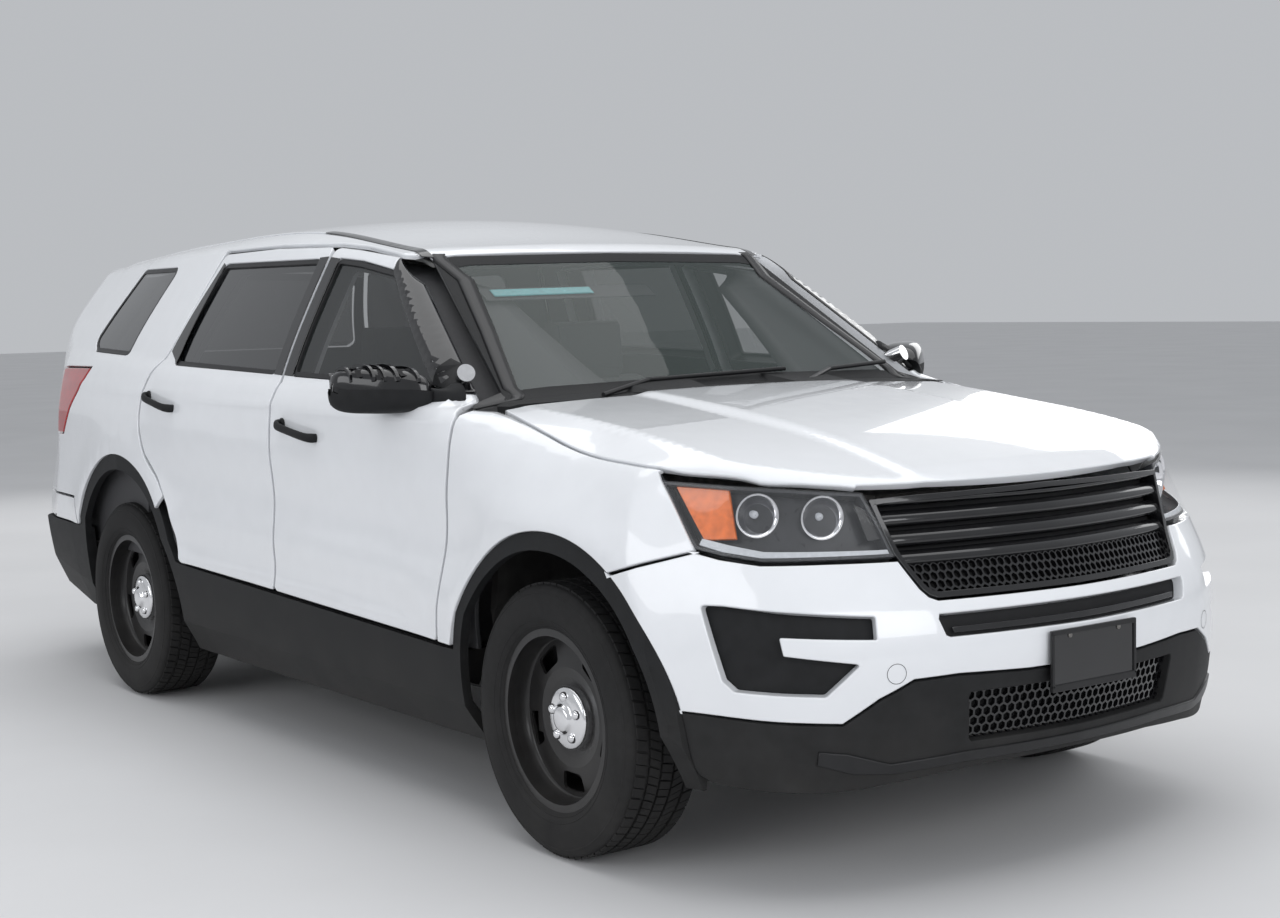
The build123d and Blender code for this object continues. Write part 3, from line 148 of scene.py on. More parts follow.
M = {
    "paint": material("white_paint", (0.82, 0.835, 0.86), rough=0.22, coat=1.0, coat_rough=0.02, specular=0.5,
                      scale=14, vary=0.012, rough_vary=0.02, dust=0.16, dust_top=0.75),
    "inner": material("door_shut_paint", (0.70, 0.715, 0.74), rough=0.35, scale=20, vary=0.03),
    "gap": material("gap_shadow", (0.012, 0.012, 0.013), rough=0.8, scale=30, vary=0.2),
    "plastic": material("grained_plastic", (0.012, 0.0125, 0.0135), rough=0.60, specular=0.28, scale=25,
                        vary=0.25, bump=0.25, bump_scale=900, dust=0.12, dust_top=0.6),
    "gloss": material("gloss_black", (0.007, 0.007, 0.008), rough=0.12, coat=0.6, scale=20, vary=0.2,
                      rough_vary=0.05),
    "satin": material("satin_black", (0.012, 0.012, 0.013), rough=0.38, scale=25, vary=0.2, bump=0.05,
                      bump_scale=500),
    "rubber": material("tyre_rubber", (0.013, 0.013, 0.0135), rough=0.75, specular=0.25, scale=40, vary=0.25,
                       bump=0.15, bump_scale=700, dust=0.35, dust_top=0.9, dust_colour=(0.10, 0.095, 0.09)),
    "wheel": material("wheel_black", (0.008, 0.008, 0.009), rough=0.33, specular=0.35, coat=0.3,
                      coat_rough=0.2, scale=30, vary=0.25, bump=0.06, bump_scale=350, dust=0.10,
                      dust_top=0.9),
    "chrome": material("chrome_plate", (0.86, 0.86, 0.87), rough=0.16, metal=1.0, scale=50, vary=0.03,
                       rough_vary=0.04),
    "steel": material("dull_steel", (0.22, 0.21, 0.20), rough=0.5, metal=0.8, scale=40, vary=0.25, bump=0.15,
                      bump_scale=300),
    "chassis": material("chassis_black", (0.03, 0.029, 0.028), rough=0.6, scale=25, vary=0.35, bump=0.2,
                        bump_scale=300),
    "cloth": material("seat_cloth", (0.045, 0.045, 0.05), rough=0.9, scale=120, vary=0.2, bump=0.5,
                      bump_scale=1100, sheen=0.3),
    "trimgrey": material("cabin_plastic", (0.045, 0.045, 0.048), rough=0.6, scale=60, vary=0.12, bump=0.2,
                         bump_scale=900),
    "liner": material("headliner_cloth", (0.38, 0.38, 0.37), rough=0.9, scale=90, vary=0.08, bump=0.3,
                      bump_scale=1000),
    "white_plastic": material("white_plastic", (0.80, 0.81, 0.83), rough=0.3, scale=40, vary=0.02),
    "red_lens": material("red_lens", (0.42, 0.012, 0.014), rough=0.08, coat=1.0, scale=30, vary=0.12,
                         rough_vary=0.03),
    "amber": material("amber_lens", (0.75, 0.16, 0.02), rough=0.15, coat=0.8, scale=60, vary=0.15),
    "reflector": material("lamp_reflector", (0.85, 0.85, 0.87), rough=0.07, metal=1.0, scale=90, vary=0.03),
    "bezel": material("lamp_bezel", (0.035, 0.036, 0.04), rough=0.3, scale=50, vary=0.15),
    "teal": material("visor_light_lens", (0.10, 0.42, 0.44), rough=0.25, coat=0.6, scale=60, vary=0.15),
    "lightpipe": material("light_pipe", (0.55, 0.57, 0.60), rough=0.25, scale=70, vary=0.06),
}


def glass_material(name, tint, see, rough=0.02):
    """Window glass: a glossy layer over a tinted see-through one."""
    m = bpy.data.materials.new(name)
    m.use_nodes = True
    nt = m.node_tree
    p = nt.nodes["Principled BSDF"]
    tc = nt.nodes.new("ShaderNodeTexCoord")
    n1 = nt.nodes.new("ShaderNodeTexNoise")
    n1.inputs["Scale"].default_value = 6.0
    nt.links.new(tc.outputs["Object"], n1.inputs["Vector"])
    ramp = nt.nodes.new("ShaderNodeValToRGB")
    ramp.color_ramp.elements[0].color = (*[v * 0.92 for v in tint], 1)
    ramp.color_ramp.elements[1].color = (*tint, 1)
    nt.links.new(n1.outputs["Fac"], ramp.inputs["Fac"])
    nt.links.new(ramp.outputs["Color"], p.inputs["Base Color"])
    p.inputs["Roughness"].default_value = rough
    p.inputs["Specular IOR Level"].default_value = 0.5
    p.inputs["Coat Weight"].default_value = 1.0
    p.inputs["Coat Roughness"].default_value = 0.01
    p.inputs["Alpha"].default_value = 1.0 - see
    return m


M["glass"] = glass_material("windscreen_glass", (0.10, 0.135, 0.125), 0.70)
M["dark_glass"] = glass_material("privacy_glass", (0.006, 0.007, 0.008), 0.10, rough=0.05)
M["side_glass"] = glass_material("side_glass", (0.02, 0.024, 0.024), 0.45)
M["lens"] = glass_material("lamp_lens", (0.60, 0.62, 0.64), 0.93)

# Driving sizes, in metres
FA, WB, FO, RO = -1.541, 2.86, 0.965, 1.212
RA = FA + WB
HW, RH = 0.996, 1.735
AXLE = 0.363
FRONT_ARCH, REAR_ARCH = (FA - 0.022, AXLE, 0.4965), (RA, AXLE, 0.5455)


def Y(share):
    if share < 0:
        return FA + share * FO
    return FA + share * WB if share <= 1 else RA + (share - 1) * RO


# Body surface from cross-sections and plan outlines
LOWER = [
    (-1.056, (0.82, 0.1729), (0.9, 0.2478), (0.93, 0.3458), (0.925, 0.415), (0.905, 0.4726), (0.85, 0.5274),
     (0.7, 0.5291), 0.536),
    (-0.4756, (0.86, 0.151), (0.945, 0.2305), (0.968, 0.3458), (0.962, 0.438), (0.948, 0.5014),
     (0.893, 0.5833), (0.77, 0.6133), 0.6236),
    (0.0, (0.88, 0.136), (0.958, 0.2133), (0.996, 0.3573), (0.992, 0.4496), (0.975, 0.5187), (0.893, 0.6098),
     (0.775, 0.6501), 0.6622),
    (0.1545, (0.89, 0.1337), (0.955, 0.1931), (0.992, 0.3458), (0.976, 0.4553), (0.984, 0.5533),
     (0.957, 0.6571), (0.79, 0.6744), 0.687),
    (0.5388, (0.89, 0.1337), (0.955, 0.1931), (0.998, 0.3516), (0.98, 0.4784), (0.99, 0.5821), (0.95, 0.6916),
     (0.78, 0.7003), 0.7043),
    (1.0, (0.89, 0.136), (0.955, 0.1988), (1.0, 0.3689), (0.99, 0.4957), (0.988, 0.6225), (0.925, 0.7308),
     (0.78, 0.7406), 0.7435),
    (1.5619, (0.85, 0.147), (0.905, 0.219), (0.95, 0.3689), (0.948, 0.4957), (0.944, 0.6282), (0.874, 0.7406),
     (0.74, 0.747), 0.7493),
    (2.0239, (0.78, 0.1787), (0.84, 0.2478), (0.905, 0.3689), (0.895, 0.4957), (0.875, 0.6282),
     (0.81, 0.7406), (0.7, 0.747), 0.7493),
]
CABIN = [
    (0.0843, (0.921, 0.6225), (0.785, 0.8588), (0.748, 0.8818), (0.655, 0.9003), 0.9095),
    (0.385, (0.944, 0.6628), (0.766, 0.8905), (0.73, 0.9164), (0.64, 0.9291), 0.9395),
    (0.6262, (0.949, 0.6888), (0.764, 0.921), (0.733, 0.951), (0.64, 0.9764), 1.0),
    (0.9584, (0.926, 0.7205), (0.75, 0.9233), (0.716, 0.951), (0.62, 0.9729), 0.9925),
    (1.9414, (0.832, 0.7401), (0.656, 0.8957), (0.622, 0.9182), (0.528, 0.9331), 0.9464),
]
LOWER_PLAN = [
    (0.1153, -0.9316, (0.56, -0.8383), (0.79, -0.6984), (0.935, -0.4756), (0.905, 1.6939), (0.835, 1.8672),
     (0.62, 1.9373), 1.9579),
    (0.2478, -0.9938, (0.56, -0.8984), (0.795, -0.7472), (0.945, -0.5067), (0.935, 1.6939), (0.85, 1.9084),
     (0.62, 1.981), 2.0),
    (0.3977, -1.0, (0.56, -0.8943), (0.795, -0.7347), (0.95, -0.4756), (0.94, 1.6939), (0.85, 1.9043),
     (0.62, 1.9794), 2.0),
    (0.4784, -0.9161, (0.545, -0.8228), (0.775, -0.6777), (0.94, -0.4342), (0.93, 1.6691), (0.84, 1.8672),
     (0.62, 1.9455), 1.9703),
    (0.5677, -0.8746, (0.54, -0.7617), (0.76, -0.6052), (0.925, -0.3513), (0.925, 1.6526), (0.83, 1.8507),
     (0.61, 1.9332), 1.9596),
    (0.7608, -0.7554, (0.53, -0.6518), (0.74, -0.4964), (0.9, -0.2684), (0.882, 1.6361), (0.795, 1.8177),
     (0.605, 1.896), 1.9249),
]
CABIN_PLAN = [
    (0.5764, 0.0486, (0.843, 0.0748), (0.882, 1.6361), (0.795, 1.8177), (0.605, 1.896), 1.9249),
    (0.7378, 0.1965, (0.744, 0.2199), (0.882, 1.6361), (0.795, 1.8177), (0.605, 1.896), 1.9249),
    (1.0375, 0.471, (0.56, 0.4895), (0.74, 1.4381), (0.655, 1.6031), (0.52, 1.6691), 1.6939),
]
YG = np.arange(-2.64, 2.641, 0.01)
ZG = np.arange(0.15, 1.801, 0.005)
XG = np.arange(0.0, 1.2, 0.005)


def spread(xs, table, xq):
    """Smooth curve through the columns of a table."""
    xs, t = np.asarray(xs, float), np.asarray(table, float)
    h = np.diff(xs)
    d = np.diff(t, axis=0) / h[:, None]
    m = np.empty_like(t)
    m[0], m[-1] = d[0], d[-1]
    m[1:-1] = (d[:-1] * h[1:, None] + d[1:] * h[:-1, None]) / (h[:-1] + h[1:])[:, None]
    i = np.clip(np.searchsorted(xs, xq) - 1, 0, len(xs) - 2)
    u = ((xq - xs[i]) / h[i])[:, None]
    u = np.clip(u, 0, 1)
    a, b = t[i], t[i + 1]
    ha, hb = m[i] * h[i][:, None], m[i + 1] * h[i][:, None]
    return (a * (1 + 2 * u) * (1 - u) ** 2 + b * u * u * (3 - 2 * u) + ha * u * (1 - u) ** 2
            - hb * u * u * (1 - u))


def curve(points, per=8, tension=0.85):
    """Dense smooth curve through points, by centripetal tangents."""
    p = np.asarray(points, float)
    k = np.sqrt(np.linalg.norm(np.diff(p, axis=0), axis=1)) + 1e-9
    t = np.concatenate([[0], np.cumsum(k)])
    tq = np.concatenate([np.linspace(t[i], t[i + 1], per,
                                     endpoint=False) for i in range(len(t) - 1)] + [[t[-1]]])
    return spread(t, p, tq) * tension + np.column_stack([np.interp(tq, t, p[:, 0]),
                                                         np.interp(tq, t, p[:, 1])]) * (1 - tension)


def crown(end, top, count=16):
    """Arc from (x, z) at the side to (0, top)."""
    x, z = end
    lift = max(top - z, 1e-4)
    radius = (x * x + lift * lift) / (2 * lift)
    xs = np.linspace(x, 0, count)[1:]
    return np.column_stack([xs, top - (radius - np.sqrt(np.maximum(radius**2 - xs**2, 0)))])


def section_grids(rows, root=0.0):
    ys = [Y(r[0]) for r in rows]
    cols = []
    for r in rows:
        pts = [(w * HW, h * RH) for w, h in r[1:-1]]
        if root:
            pts = [(pts[0][0], pts[0][1] - root)] + pts
        cols.append([v for p in pts for v in p] + [r[-1] * RH])
    dense = spread(ys, cols, YG)
    xs = np.empty((len(YG), len(ZG)))
    zt = np.empty((len(YG), len(XG)))
    for i, row in enumerate(dense):
        pts = row[:-1].reshape(-1, 2)
        c1 = curve(pts)
        c1 = np.vstack([c1, crown(c1[-1], row[-1])])
        z = np.maximum.accumulate(c1[:, 1] + np.arange(len(c1)) * 1e-7)
        run, rise = np.gradient(c1[:, 0]), np.gradient(c1[:, 1])
        steep = np.abs(rise) / (np.hypot(run, rise) + 1e-12)
        flat = 1 - np.clip((steep - 0.20) / 0.30, 0, 1)
        wall = np.clip((steep - 0.62) / 0.20, 0, 1)
        high = np.maximum.accumulate(z + 0.020 * flat)
        x = np.interp(ZG, high, c1[:, 0])
        x[ZG > high[-1]] = -(ZG[ZG > high[-1]] - high[-1]) * 4
        x[ZG < z[0]] = c1[0, 0] - (z[0] - ZG[ZG < z[0]]) * 2
        xs[i] = x
        k = int(np.argmax(c1[:, 0]))
        upx, upz = np.maximum.accumulate((c1[k:, 0] + 0.014 * wall[k:])[::-1]), z[k:][::-1]
        zz = np.interp(XG, upx, upz)
        zz[XG > upx[-1]] = upz[-1] - (XG[XG > upx[-1]] - upx[-1]) * 3
        zt[i] = zz
    return xs, zt


def plan_grids(rows, cabin=False):
    zs = [r[0] * RH for r in rows]
    cols = []
    for r in rows:
        flat = [Y(r[1])]
        for w, s_ in r[2:-1]:
            flat += [w * HW, Y(s_)]
        cols.append(flat + [Y(r[-1])])
    dense = spread(zs, cols, np.clip(ZG, zs[0], zs[-1]))
    front = np.empty((len(ZG), len(XG)))
    rear = np.empty_like(front)
    nf = 1 if cabin else 3
    for i, row in enumerate(dense):
        pts = row[1:-1].reshape(-1, 2)
        f, q = pts[:nf], pts[nf:]
        flare = 0.2 if cabin else 0.26
        fc = [(-f[0][0], f[0][1]), (0, row[0]), *f, (1.2, f[-1][1] + flare)]
        c1 = curve(fc, per=10)
        keep = c1[:, 0] >= -1e-6
        c1 = c1[keep]
        front[i] = np.interp(XG, np.maximum.accumulate(c1[:, 0] + np.arange(len(c1)) * 1e-8), c1[:, 1])
        r0, ham, haunch = q
        rc = [(-haunch[0], haunch[1]), (0, row[-1]), tuple(haunch), tuple(ham), tuple(r0),
              (1.2, r0[1] - 0.26)]
        c2 = curve(rc, per=10)
        c2 = c2[c2[:, 0] >= -1e-6]
        rear[i] = np.interp(XG, np.maximum.accumulate(c2[:, 0] + np.arange(len(c2)) * 1e-8), c2[:, 1])
    return front, rear


def blur(grid, n):
    for axis in (0, 1):
        for _ in range(n):
            g = np.pad(grid, [(1, 1) if a == axis else (0, 0) for a in (0, 1)], mode="edge")
            lo = g[:-2] if axis == 0 else g[:, :-2]
            mid = g[1:-1] if axis == 0 else g[:, 1:-1]
            hi = g[2:] if axis == 0 else g[:, 2:]
            grid = (lo + 2 * mid + hi) / 4
    return grid


LXS, LZT = section_grids(LOWER)
CXS, CZT = section_grids(CABIN, root=0.22)
LF, LR = plan_grids(LOWER_PLAN)
CF, CR = plan_grids(CABIN_PLAN, cabin=True)
LF, LR = blur(LF, 4), blur(LR, 4)


def look(grid, a, a0, da, b, b0, db):
    """Bilinear lookup."""
    i = np.clip((a - a0) / da, 0, grid.shape[0] - 1.001)
    j = np.clip((b - b0) / db, 0, grid.shape[1] - 1.001)
    i0, j0 = i.astype(int), j.astype(int)
    u, v = i - i0, j - j0
    g = grid
    return (g[i0, j0] * (1 - u) * (1 - v) + g[i0 + 1, j0] * u * (1 - v)
            + g[i0, j0 + 1] * (1 - u) * v + g[i0 + 1, j0 + 1] * u * v)


def smin(a, b, k):
    h = np.maximum(k - np.abs(a - b), 0) / k
    return np.minimum(a, b) - h * h * k / 4


def step(a, b, v):
    t = np.clip((v - a) / (b - a), 0, 1)
    return t * t * (3 - 2 * t)


def swell(x, y, z):
    """Flares over the arches, the doors' hollow and their creases."""
    side = step(0.72, 0.86, x)
    rf = np.hypot(y - (FA - 0.02), z - AXLE)
    rr = np.hypot(y - RA, z - AXLE)
    d = 0.012 * np.exp(-(((rf - 0.50) / 0.085) ** 2)) * step(0.2, 0.5, z)
    d += 0.012 * np.exp(-(((rr - 0.55) / 0.095) ** 2)) * step(0.2, 0.5, z)
    between = step(-0.95, -0.75, y) * (1 - step(0.72, 0.92, y))
    line = 0.545 + 0.045 * (y + 0.9) / 1.7
    d -= between * 0.010 * np.exp(-(((z - line - 0.055) / 0.060) ** 2))
    d += between * 0.004 * np.exp(-(((z - line + 0.012) / 0.018) ** 2))
    mid = 1.125 + 0.035 * (y + 0.9) / 2.6
    d += 0.0035 * np.exp(-(((z - mid) / 0.016) ** 2)) * step(-1.3, -1.0, y) * (1 - step(1.9, 2.1, y))
    return side * d


def field(x, y, z):
    """Positive inside the body, in metres near its surface."""
    x = np.abs(x)
    lower = np.minimum(look(LXS, y, YG[0], 0.01, z, ZG[0], 0.005) - x,
                       look(LZT, y, YG[0], 0.01, x, 0.0, 0.005) - z)
    lower = lower + swell(x, y, z)
    hood = step(-2.35, -2.25, y) * (1 - step(-1.25, -1.12, y))
    ridge = 0.43 + 0.02 * (y + 1.2)
    lower = lower + np.where(z > 0.9, hood * 0.011 * (1 - step(ridge - 0.05, ridge + 0.012, x)), 0)
    plan = np.minimum(y - look(LF, z, ZG[0], 0.005, x, 0.0, 0.005),
                      look(LR, z, ZG[0], 0.005, x, 0.0, 0.005) - y)
    lower = smin(lower, plan, 0.035)
    cab = np.minimum(look(CXS, y, YG[0], 0.01, z, ZG[0], 0.005) - x,
                     look(CZT, y, YG[0], 0.01, x, 0.0, 0.005) - z)
    cplan = np.minimum(y - look(CF, z, ZG[0], 0.005, x, 0.0, 0.005),
                       look(CR, z, ZG[0], 0.005, x, 0.0, 0.005) - y)
    cab = smin(cab, cplan, 0.03)
    return -smin(-lower, -cab, 0.012)


def cast(origin, direction, far, near, count=40):
    """Distance along each ray where it enters the body, coming in from far."""
    hi = np.full(len(origin), far, float)
    lo = np.full(len(origin), near, float)
    found = np.zeros(len(origin), bool)
    prev = far
    for k in range(1, count + 1):
        tk = far + (near - far) * k / count
        p = origin + direction * tk
        inside = field(p[:, 0], p[:, 1], p[:, 2]) > 0
        new = inside & ~found
        hi[new], lo[new] = prev, tk
        found |= new
        prev = tk
        if found.all():
            break
    for _ in range(16):
        mid = (hi + lo) / 2
        p = origin + direction * mid[:, None]
        inside = field(p[:, 0], p[:, 1], p[:, 2]) > 0
        lo = np.where(inside, mid, lo)
        hi = np.where(inside, hi, mid)
    return (hi + lo) / 2


def normals(p, h=0.006):
    g = np.empty_like(p)
    for a in range(3):
        d = np.zeros(3)
        d[a] = h
        hi, lo = p + d, p - d
        g[:, a] = field(lo[:, 0], lo[:, 1], lo[:, 2]) - field(hi[:, 0], hi[:, 1], hi[:, 2])
    return g / (np.linalg.norm(g, axis=1)[:, None] + 1e-12)


class Chart:
    """A way to draw panels on the body's surface, as seen from one side. The right-hand side is +x
    here, and it is turned over when the piece is made."""

    def __init__(self, kind, at=0.0):
        self.kind, self.at = kind, at

    def rays(self, uv):
        u, v = uv[:, 0], uv[:, 1]
        n = len(uv)
        o, d = np.zeros((n, 3)), np.zeros((n, 3))
        if self.kind == "side":
            o[:, 1], o[:, 2] = u, v
            d[:, 0] = 1
            return o, d, 1.16, 0.3
        if self.kind == "plan":
            o[:, 0], o[:, 1], o[:, 2] = u, v, 0.6
            d[:, 2] = 1
            return o, d, 1.2, 0.0
        if self.kind == "front":
            o[:, 0], o[:, 1], o[:, 2] = u, self.at, v
            d[:, 1] = -1
            return o, d, 2.75, 0.0
        if self.kind == "rear":
            o[:, 0], o[:, 1], o[:, 2] = u, self.at, v
            d[:, 1] = 1
            return o, d, 2.0, 0.0
        o[:, 1], o[:, 2] = self.at, v
        if self.kind == "nose":
            d[:, 0], d[:, 1] = np.sin(u), -np.cos(u)
        else:
            d[:, 0], d[:, 1] = np.sin(u), np.cos(u)
        return o, d, 1.6, 0.3

    def place(self, uv):
        uv = np.asarray(uv, float)
        o, d, far, near = self.rays(uv)
        t = cast(o, d, far, near)
        return o + d * t[:, None]

    def uv(self, p):
        p = np.asarray(p, float)
        if self.kind == "side":
            return p[:, 1:3]
        if self.kind == "plan":
            return p[:, 0:2]
        if self.kind in ("front", "rear"):
            return p[:, [0, 2]]
        y = p[:, 1] - self.at
        return np.column_stack([np.arctan2(p[:, 0], -y if self.kind == "nose" else y), p[:, 2]])

    def scale(self):
        return np.array([0.95, 1.0]) if self.kind in ("nose", "tail") else np.array([1.0, 1.0])


SIDE, PLAN = Chart("side"), Chart("plan")
FRONT, REAR = Chart("front", 0.1), Chart("rear", 1.0)
NOSE, TAIL = Chart("nose", -1.55), Chart("tail", 1.45)


def area(p):
    x, y = p[:, 0], p[:, 1]
    return 0.5 * float(np.sum(x * np.roll(y, -1) - np.roll(x, -1) * y))


def fillet(points, radii):
    """Outline with rounded corners, counter-clockwise."""
    p = np.asarray(points, float)
    n = len(p)
    if np.isscalar(radii):
        radii = [radii] * n
    if area(p) < 0:
        p, radii = p[::-1], list(radii)[::-1]
    out = []
    for i in range(n):
        a, b, c_ = p[i - 1], p[i], p[(i + 1) % n]
        e1, e2 = a - b, c_ - b
        l1, l2 = np.linalg.norm(e1), np.linalg.norm(e2)
        if radii[i] <= 0 or l1 < 1e-6 or l2 < 1e-6:
            out.append(b)
            continue
        e1, e2 = e1 / l1, e2 / l2
        half = math.acos(float(np.clip(e1 @ e2, -1, 1))) / 2
        if half > math.radians(88):
            out.append(b)
            continue
        cut = min(radii[i] / math.tan(half), l1 * 0.45, l2 * 0.45)
        q1, q2 = b + e1 * cut, b + e2 * cut
        for t in np.linspace(0, 1, 7):
            out.append((1 - t) ** 2 * q1 + 2 * t * (1 - t) * b + t * t * q2)
    return np.array(out)


def densify(p, gap):
    out = []
    for i in range(len(p)):
        a, b = p[i], p[(i + 1) % len(p)]
        k = max(1, int(math.ceil(np.linalg.norm(b - a) / gap)))
        for t in range(k):
            out.append(a + (b - a) * t / k)
    return np.array(out)


def inset(p, amount):
    """Closed outline moved in to its left (inwards if counter-clockwise)."""
    e = np.roll(p, -1, axis=0) - p
    ln = np.linalg.norm(e, axis=1)[:, None] + 1e-12
    n = np.column_stack([-e[:, 1], e[:, 0]]) / ln
    m = n + np.roll(n, 1, axis=0)
    m /= np.maximum(np.linalg.norm(m, axis=1)[:, None], 1e-9)
    k = np.sum(m * n, axis=1)[:, None]
    return p + m * amount / np.maximum(k, 0.6)


def inside(points, poly):
    x, y = points[:, 0], points[:, 1]
    r = np.zeros(len(points), bool)
    j = len(poly) - 1
    for i in range(len(poly)):
        xi, yi = poly[i]
        xj, yj = poly[j]
        hit = ((yi > y) != (yj > y)) & (x < (xj - xi) * (y - yi) / (yj - yi + 1e-15) + xi)
        r ^= hit
        j = i
    return r


def near(points, poly, limit):
    """Points closer than limit to an outline."""
    a, b = poly, np.roll(poly, -1, axis=0)
    ok = np.zeros(len(points), bool)
    for k in range(0, len(points), 2000):
        q = points[k:k + 2000, None, :]
        d = b - a
        t = np.clip(np.sum((q - a) * d, axis=2) / (np.sum(d * d, axis=1) + 1e-15), 0, 1)
        c_ = a + t[..., None] * d
        ok[k:k + 2000] = np.min(np.linalg.norm(q - c_, axis=2), axis=1) < limit
    return ok


def mesh_object(name, verts, faces, mat, body, norms=None, mats=None, face_mats=None, smooth=True):
    me = bpy.data.meshes.new(name)
    me.from_pydata([(v[0], min(v[1], cad_high[1] - 0.0005), v[2]) for v in verts], [],
                   [tuple(f) for f in faces])
    me.update()
    for m in (mats or [mat]):
        me.materials.append(m)
    if face_mats is not None:
        me.polygons.foreach_set("material_index", np.asarray(face_mats, np.int32))
    if smooth:
        me.polygons.foreach_set("use_smooth", np.ones(len(me.polygons), bool))
    if norms is not None:
        me.normals_split_custom_set_from_vertices([tuple(n) for n in norms])
    o = bpy.data.objects.new(name, me)
    bpy.context.scene.collection.objects.link(o)
    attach(o, body)
    return o


def flip(verts, faces, norms):
    v = np.array(verts) * np.array([-1, 1, 1])
    n = None if norms is None else np.array(norms) * np.array([-1, 1, 1])
    return v, [tuple(reversed(f)) for f in faces], n


HEM = [(0.0042, 0.0, 0.0), (0.0016, 0.0007, 0.55), (0.0, 0.0036, 1.0), (0.0, 0.013, 1.0)]


def skin(chart, outline, holes=(), gap=0.0225, offset=0.0, hem=HEM):
    """A panel as vertices, faces and normals: the surface inside an outline, with rolled edges."""
    sc = chart.scale()
    loops = [np.asarray(outline, float) * sc]
    if area(loops[0]) < 0:
        loops[0] = loops[0][::-1]
    for h in holes:
        q = np.asarray(h, float) * sc
        loops.append(q[::-1] if area(q) > 0 else q)
    loops = [densify(q, gap) for q in loops]
    rings = [[inset(q, a) for a, _, _ in hem] for q in loops]
    inner = [r[0] for r in rings]
    lo, hi = loops[0].min(0), loops[0].max(0)
    gx, gy = np.arange(lo[0], hi[0], gap), np.arange(lo[1], hi[1], gap)
    grid = np.array([(x + (gap / 2 if k % 2 else 0), y) for k, y in enumerate(gy) for x in gx])
    ok = inside(grid, inner[0])
    for q in inner[1:]:
        ok &= ~inside(grid, q)
    grid = grid[ok]
    for q in inner:
        grid = grid[~near(grid, q, gap * 0.55)]
    pts = np.vstack([*inner, grid])
    edges, base = [], 0
    for q in inner:
        n = len(q)
        edges += [(base + i, base + (i + 1) % n) for i in range(n)]
        base += n
    out = delaunay_2d_cdt([Vector(p) for p in pts], edges, [], 0, 1e-7)
    v2 = np.array([tuple(v) for v in out[0]])
    faces = np.array([tuple(f) for f in out[2]])
    cent = v2[faces].mean(axis=1)
    keep = inside(cent, inner[0])
    for q in inner[1:]:
        keep &= ~inside(cent, q)
    faces = faces[keep]
    back_map = {}
    for new, olds in enumerate(out[3]):
        for old in olds:
            back_map[old] = new
    d = v2[faces[:, 1]] - v2[faces[:, 0]]
    e = v2[faces[:, 2]] - v2[faces[:, 0]]
    cross = d[:, 0] * e[:, 1] - d[:, 1] * e[:, 0]
    faces = np.where((cross < 0)[:, None], faces[:, ::-1], faces)
    p3 = chart.place(v2 / sc)
    n3 = normals(p3)
    p3 = p3 + n3 * offset
    verts, norms = [tuple(p) for p in p3], [tuple(n) for n in n3]
    faces = [tuple(int(i) for i in f) for f in faces]
    base = 0
    for li, q in enumerate(loops):
        n = len(q)
        first = [back_map[base + i] for i in range(n)]
        ring0 = first
        for k, (a, depth, turn_) in enumerate(hem):
            if k == 0:
                continue
            r3 = chart.place(rings[li][k] / sc)
            rn = normals(r3)
            t3 = np.roll(r3, -1, axis=0) - np.roll(r3, 1, axis=0)
            t3 /= np.linalg.norm(t3, axis=1)[:, None] + 1e-12
            outn = np.cross(t3, rn)
            pos = r3 + rn * (offset - depth)
            nn = rn * (1 - turn_) + outn * turn_
            nn /= np.linalg.norm(nn, axis=1)[:, None] + 1e-12
            start = len(verts)
            verts += [tuple(p) for p in pos]
            norms += [tuple(p) for p in nn]
            ids = list(range(start, start + n))
            for i in range(n):
                j = (i + 1) % n
                faces.append((ring0[i], ids[i], ids[j], ring0[j]))
            ring0 = ids
        base += n
    verts, norms = np.array(verts), np.array(norms)
    # face winding follows the normals
    fixed = []
    for f in faces:
        a, b, c_ = verts[f[0]], verts[f[1]], verts[f[2]]
        nrm = np.cross(b - a, c_ - a)
        want = norms[list(f)].mean(axis=0)
        fixed.append(tuple(reversed(f)) if nrm @ want < 0 else tuple(f))
    return verts, fixed, norms


def ccw(points):
    """The outline as an array, counter-clockwise."""
    q = np.array(points, float)
    return q if area(q) > 0 else q[::-1]


def row_faces(rows, count):
    """Four-sided faces between closed rows of count points each."""
    faces = []
    for i in range(rows - 1):
        for k in range(count):
            j = (k + 1) % count
            faces.append((i * count + k, i * count + j, (i + 1) * count + j, (i + 1) * count + k))
    return faces


def panel(name, chart, outline, mat, body, sides="both", **kw):
    """Makes a panel on the right-hand side (-x), the left-hand side (+x), or across both as one."""
    v, f, n = skin(chart, outline, **kw)
    made = {}
    if sides == "across":
        made["across"] = mesh_object(name, v, f, mat, body, n)
        return made
    bodies = {"left": body, "right": body} if isinstance(body, str) else body
    if sides in ("both", "left"):
        made["left"] = mesh_object(name + "_left", v, f, mat, bodies["left"], n)
    if sides in ("both", "right"):
        v2, f2, n2 = flip(v, f, n)
        made["right"] = mesh_object(name + "_right", v2, f2, mat, bodies["right"], n2)
    return made


def both_ways(points):
    """A half outline that starts and ends on the centre line, made whole."""
    p = list(points)
    return p + [(-x, y) for x, y in reversed(p) if x > 1e-9]


# Panels of the body
G = 0.0018


def arc(cy, cz, r, a0, a1, count=40):
    """Points (y, z) on an arch, by angles in degrees from the front, going over the top."""
    t = np.radians(np.linspace(a0, a1, count))
    return [(cy - r * math.cos(a), cz + r * math.sin(a)) for a in t]


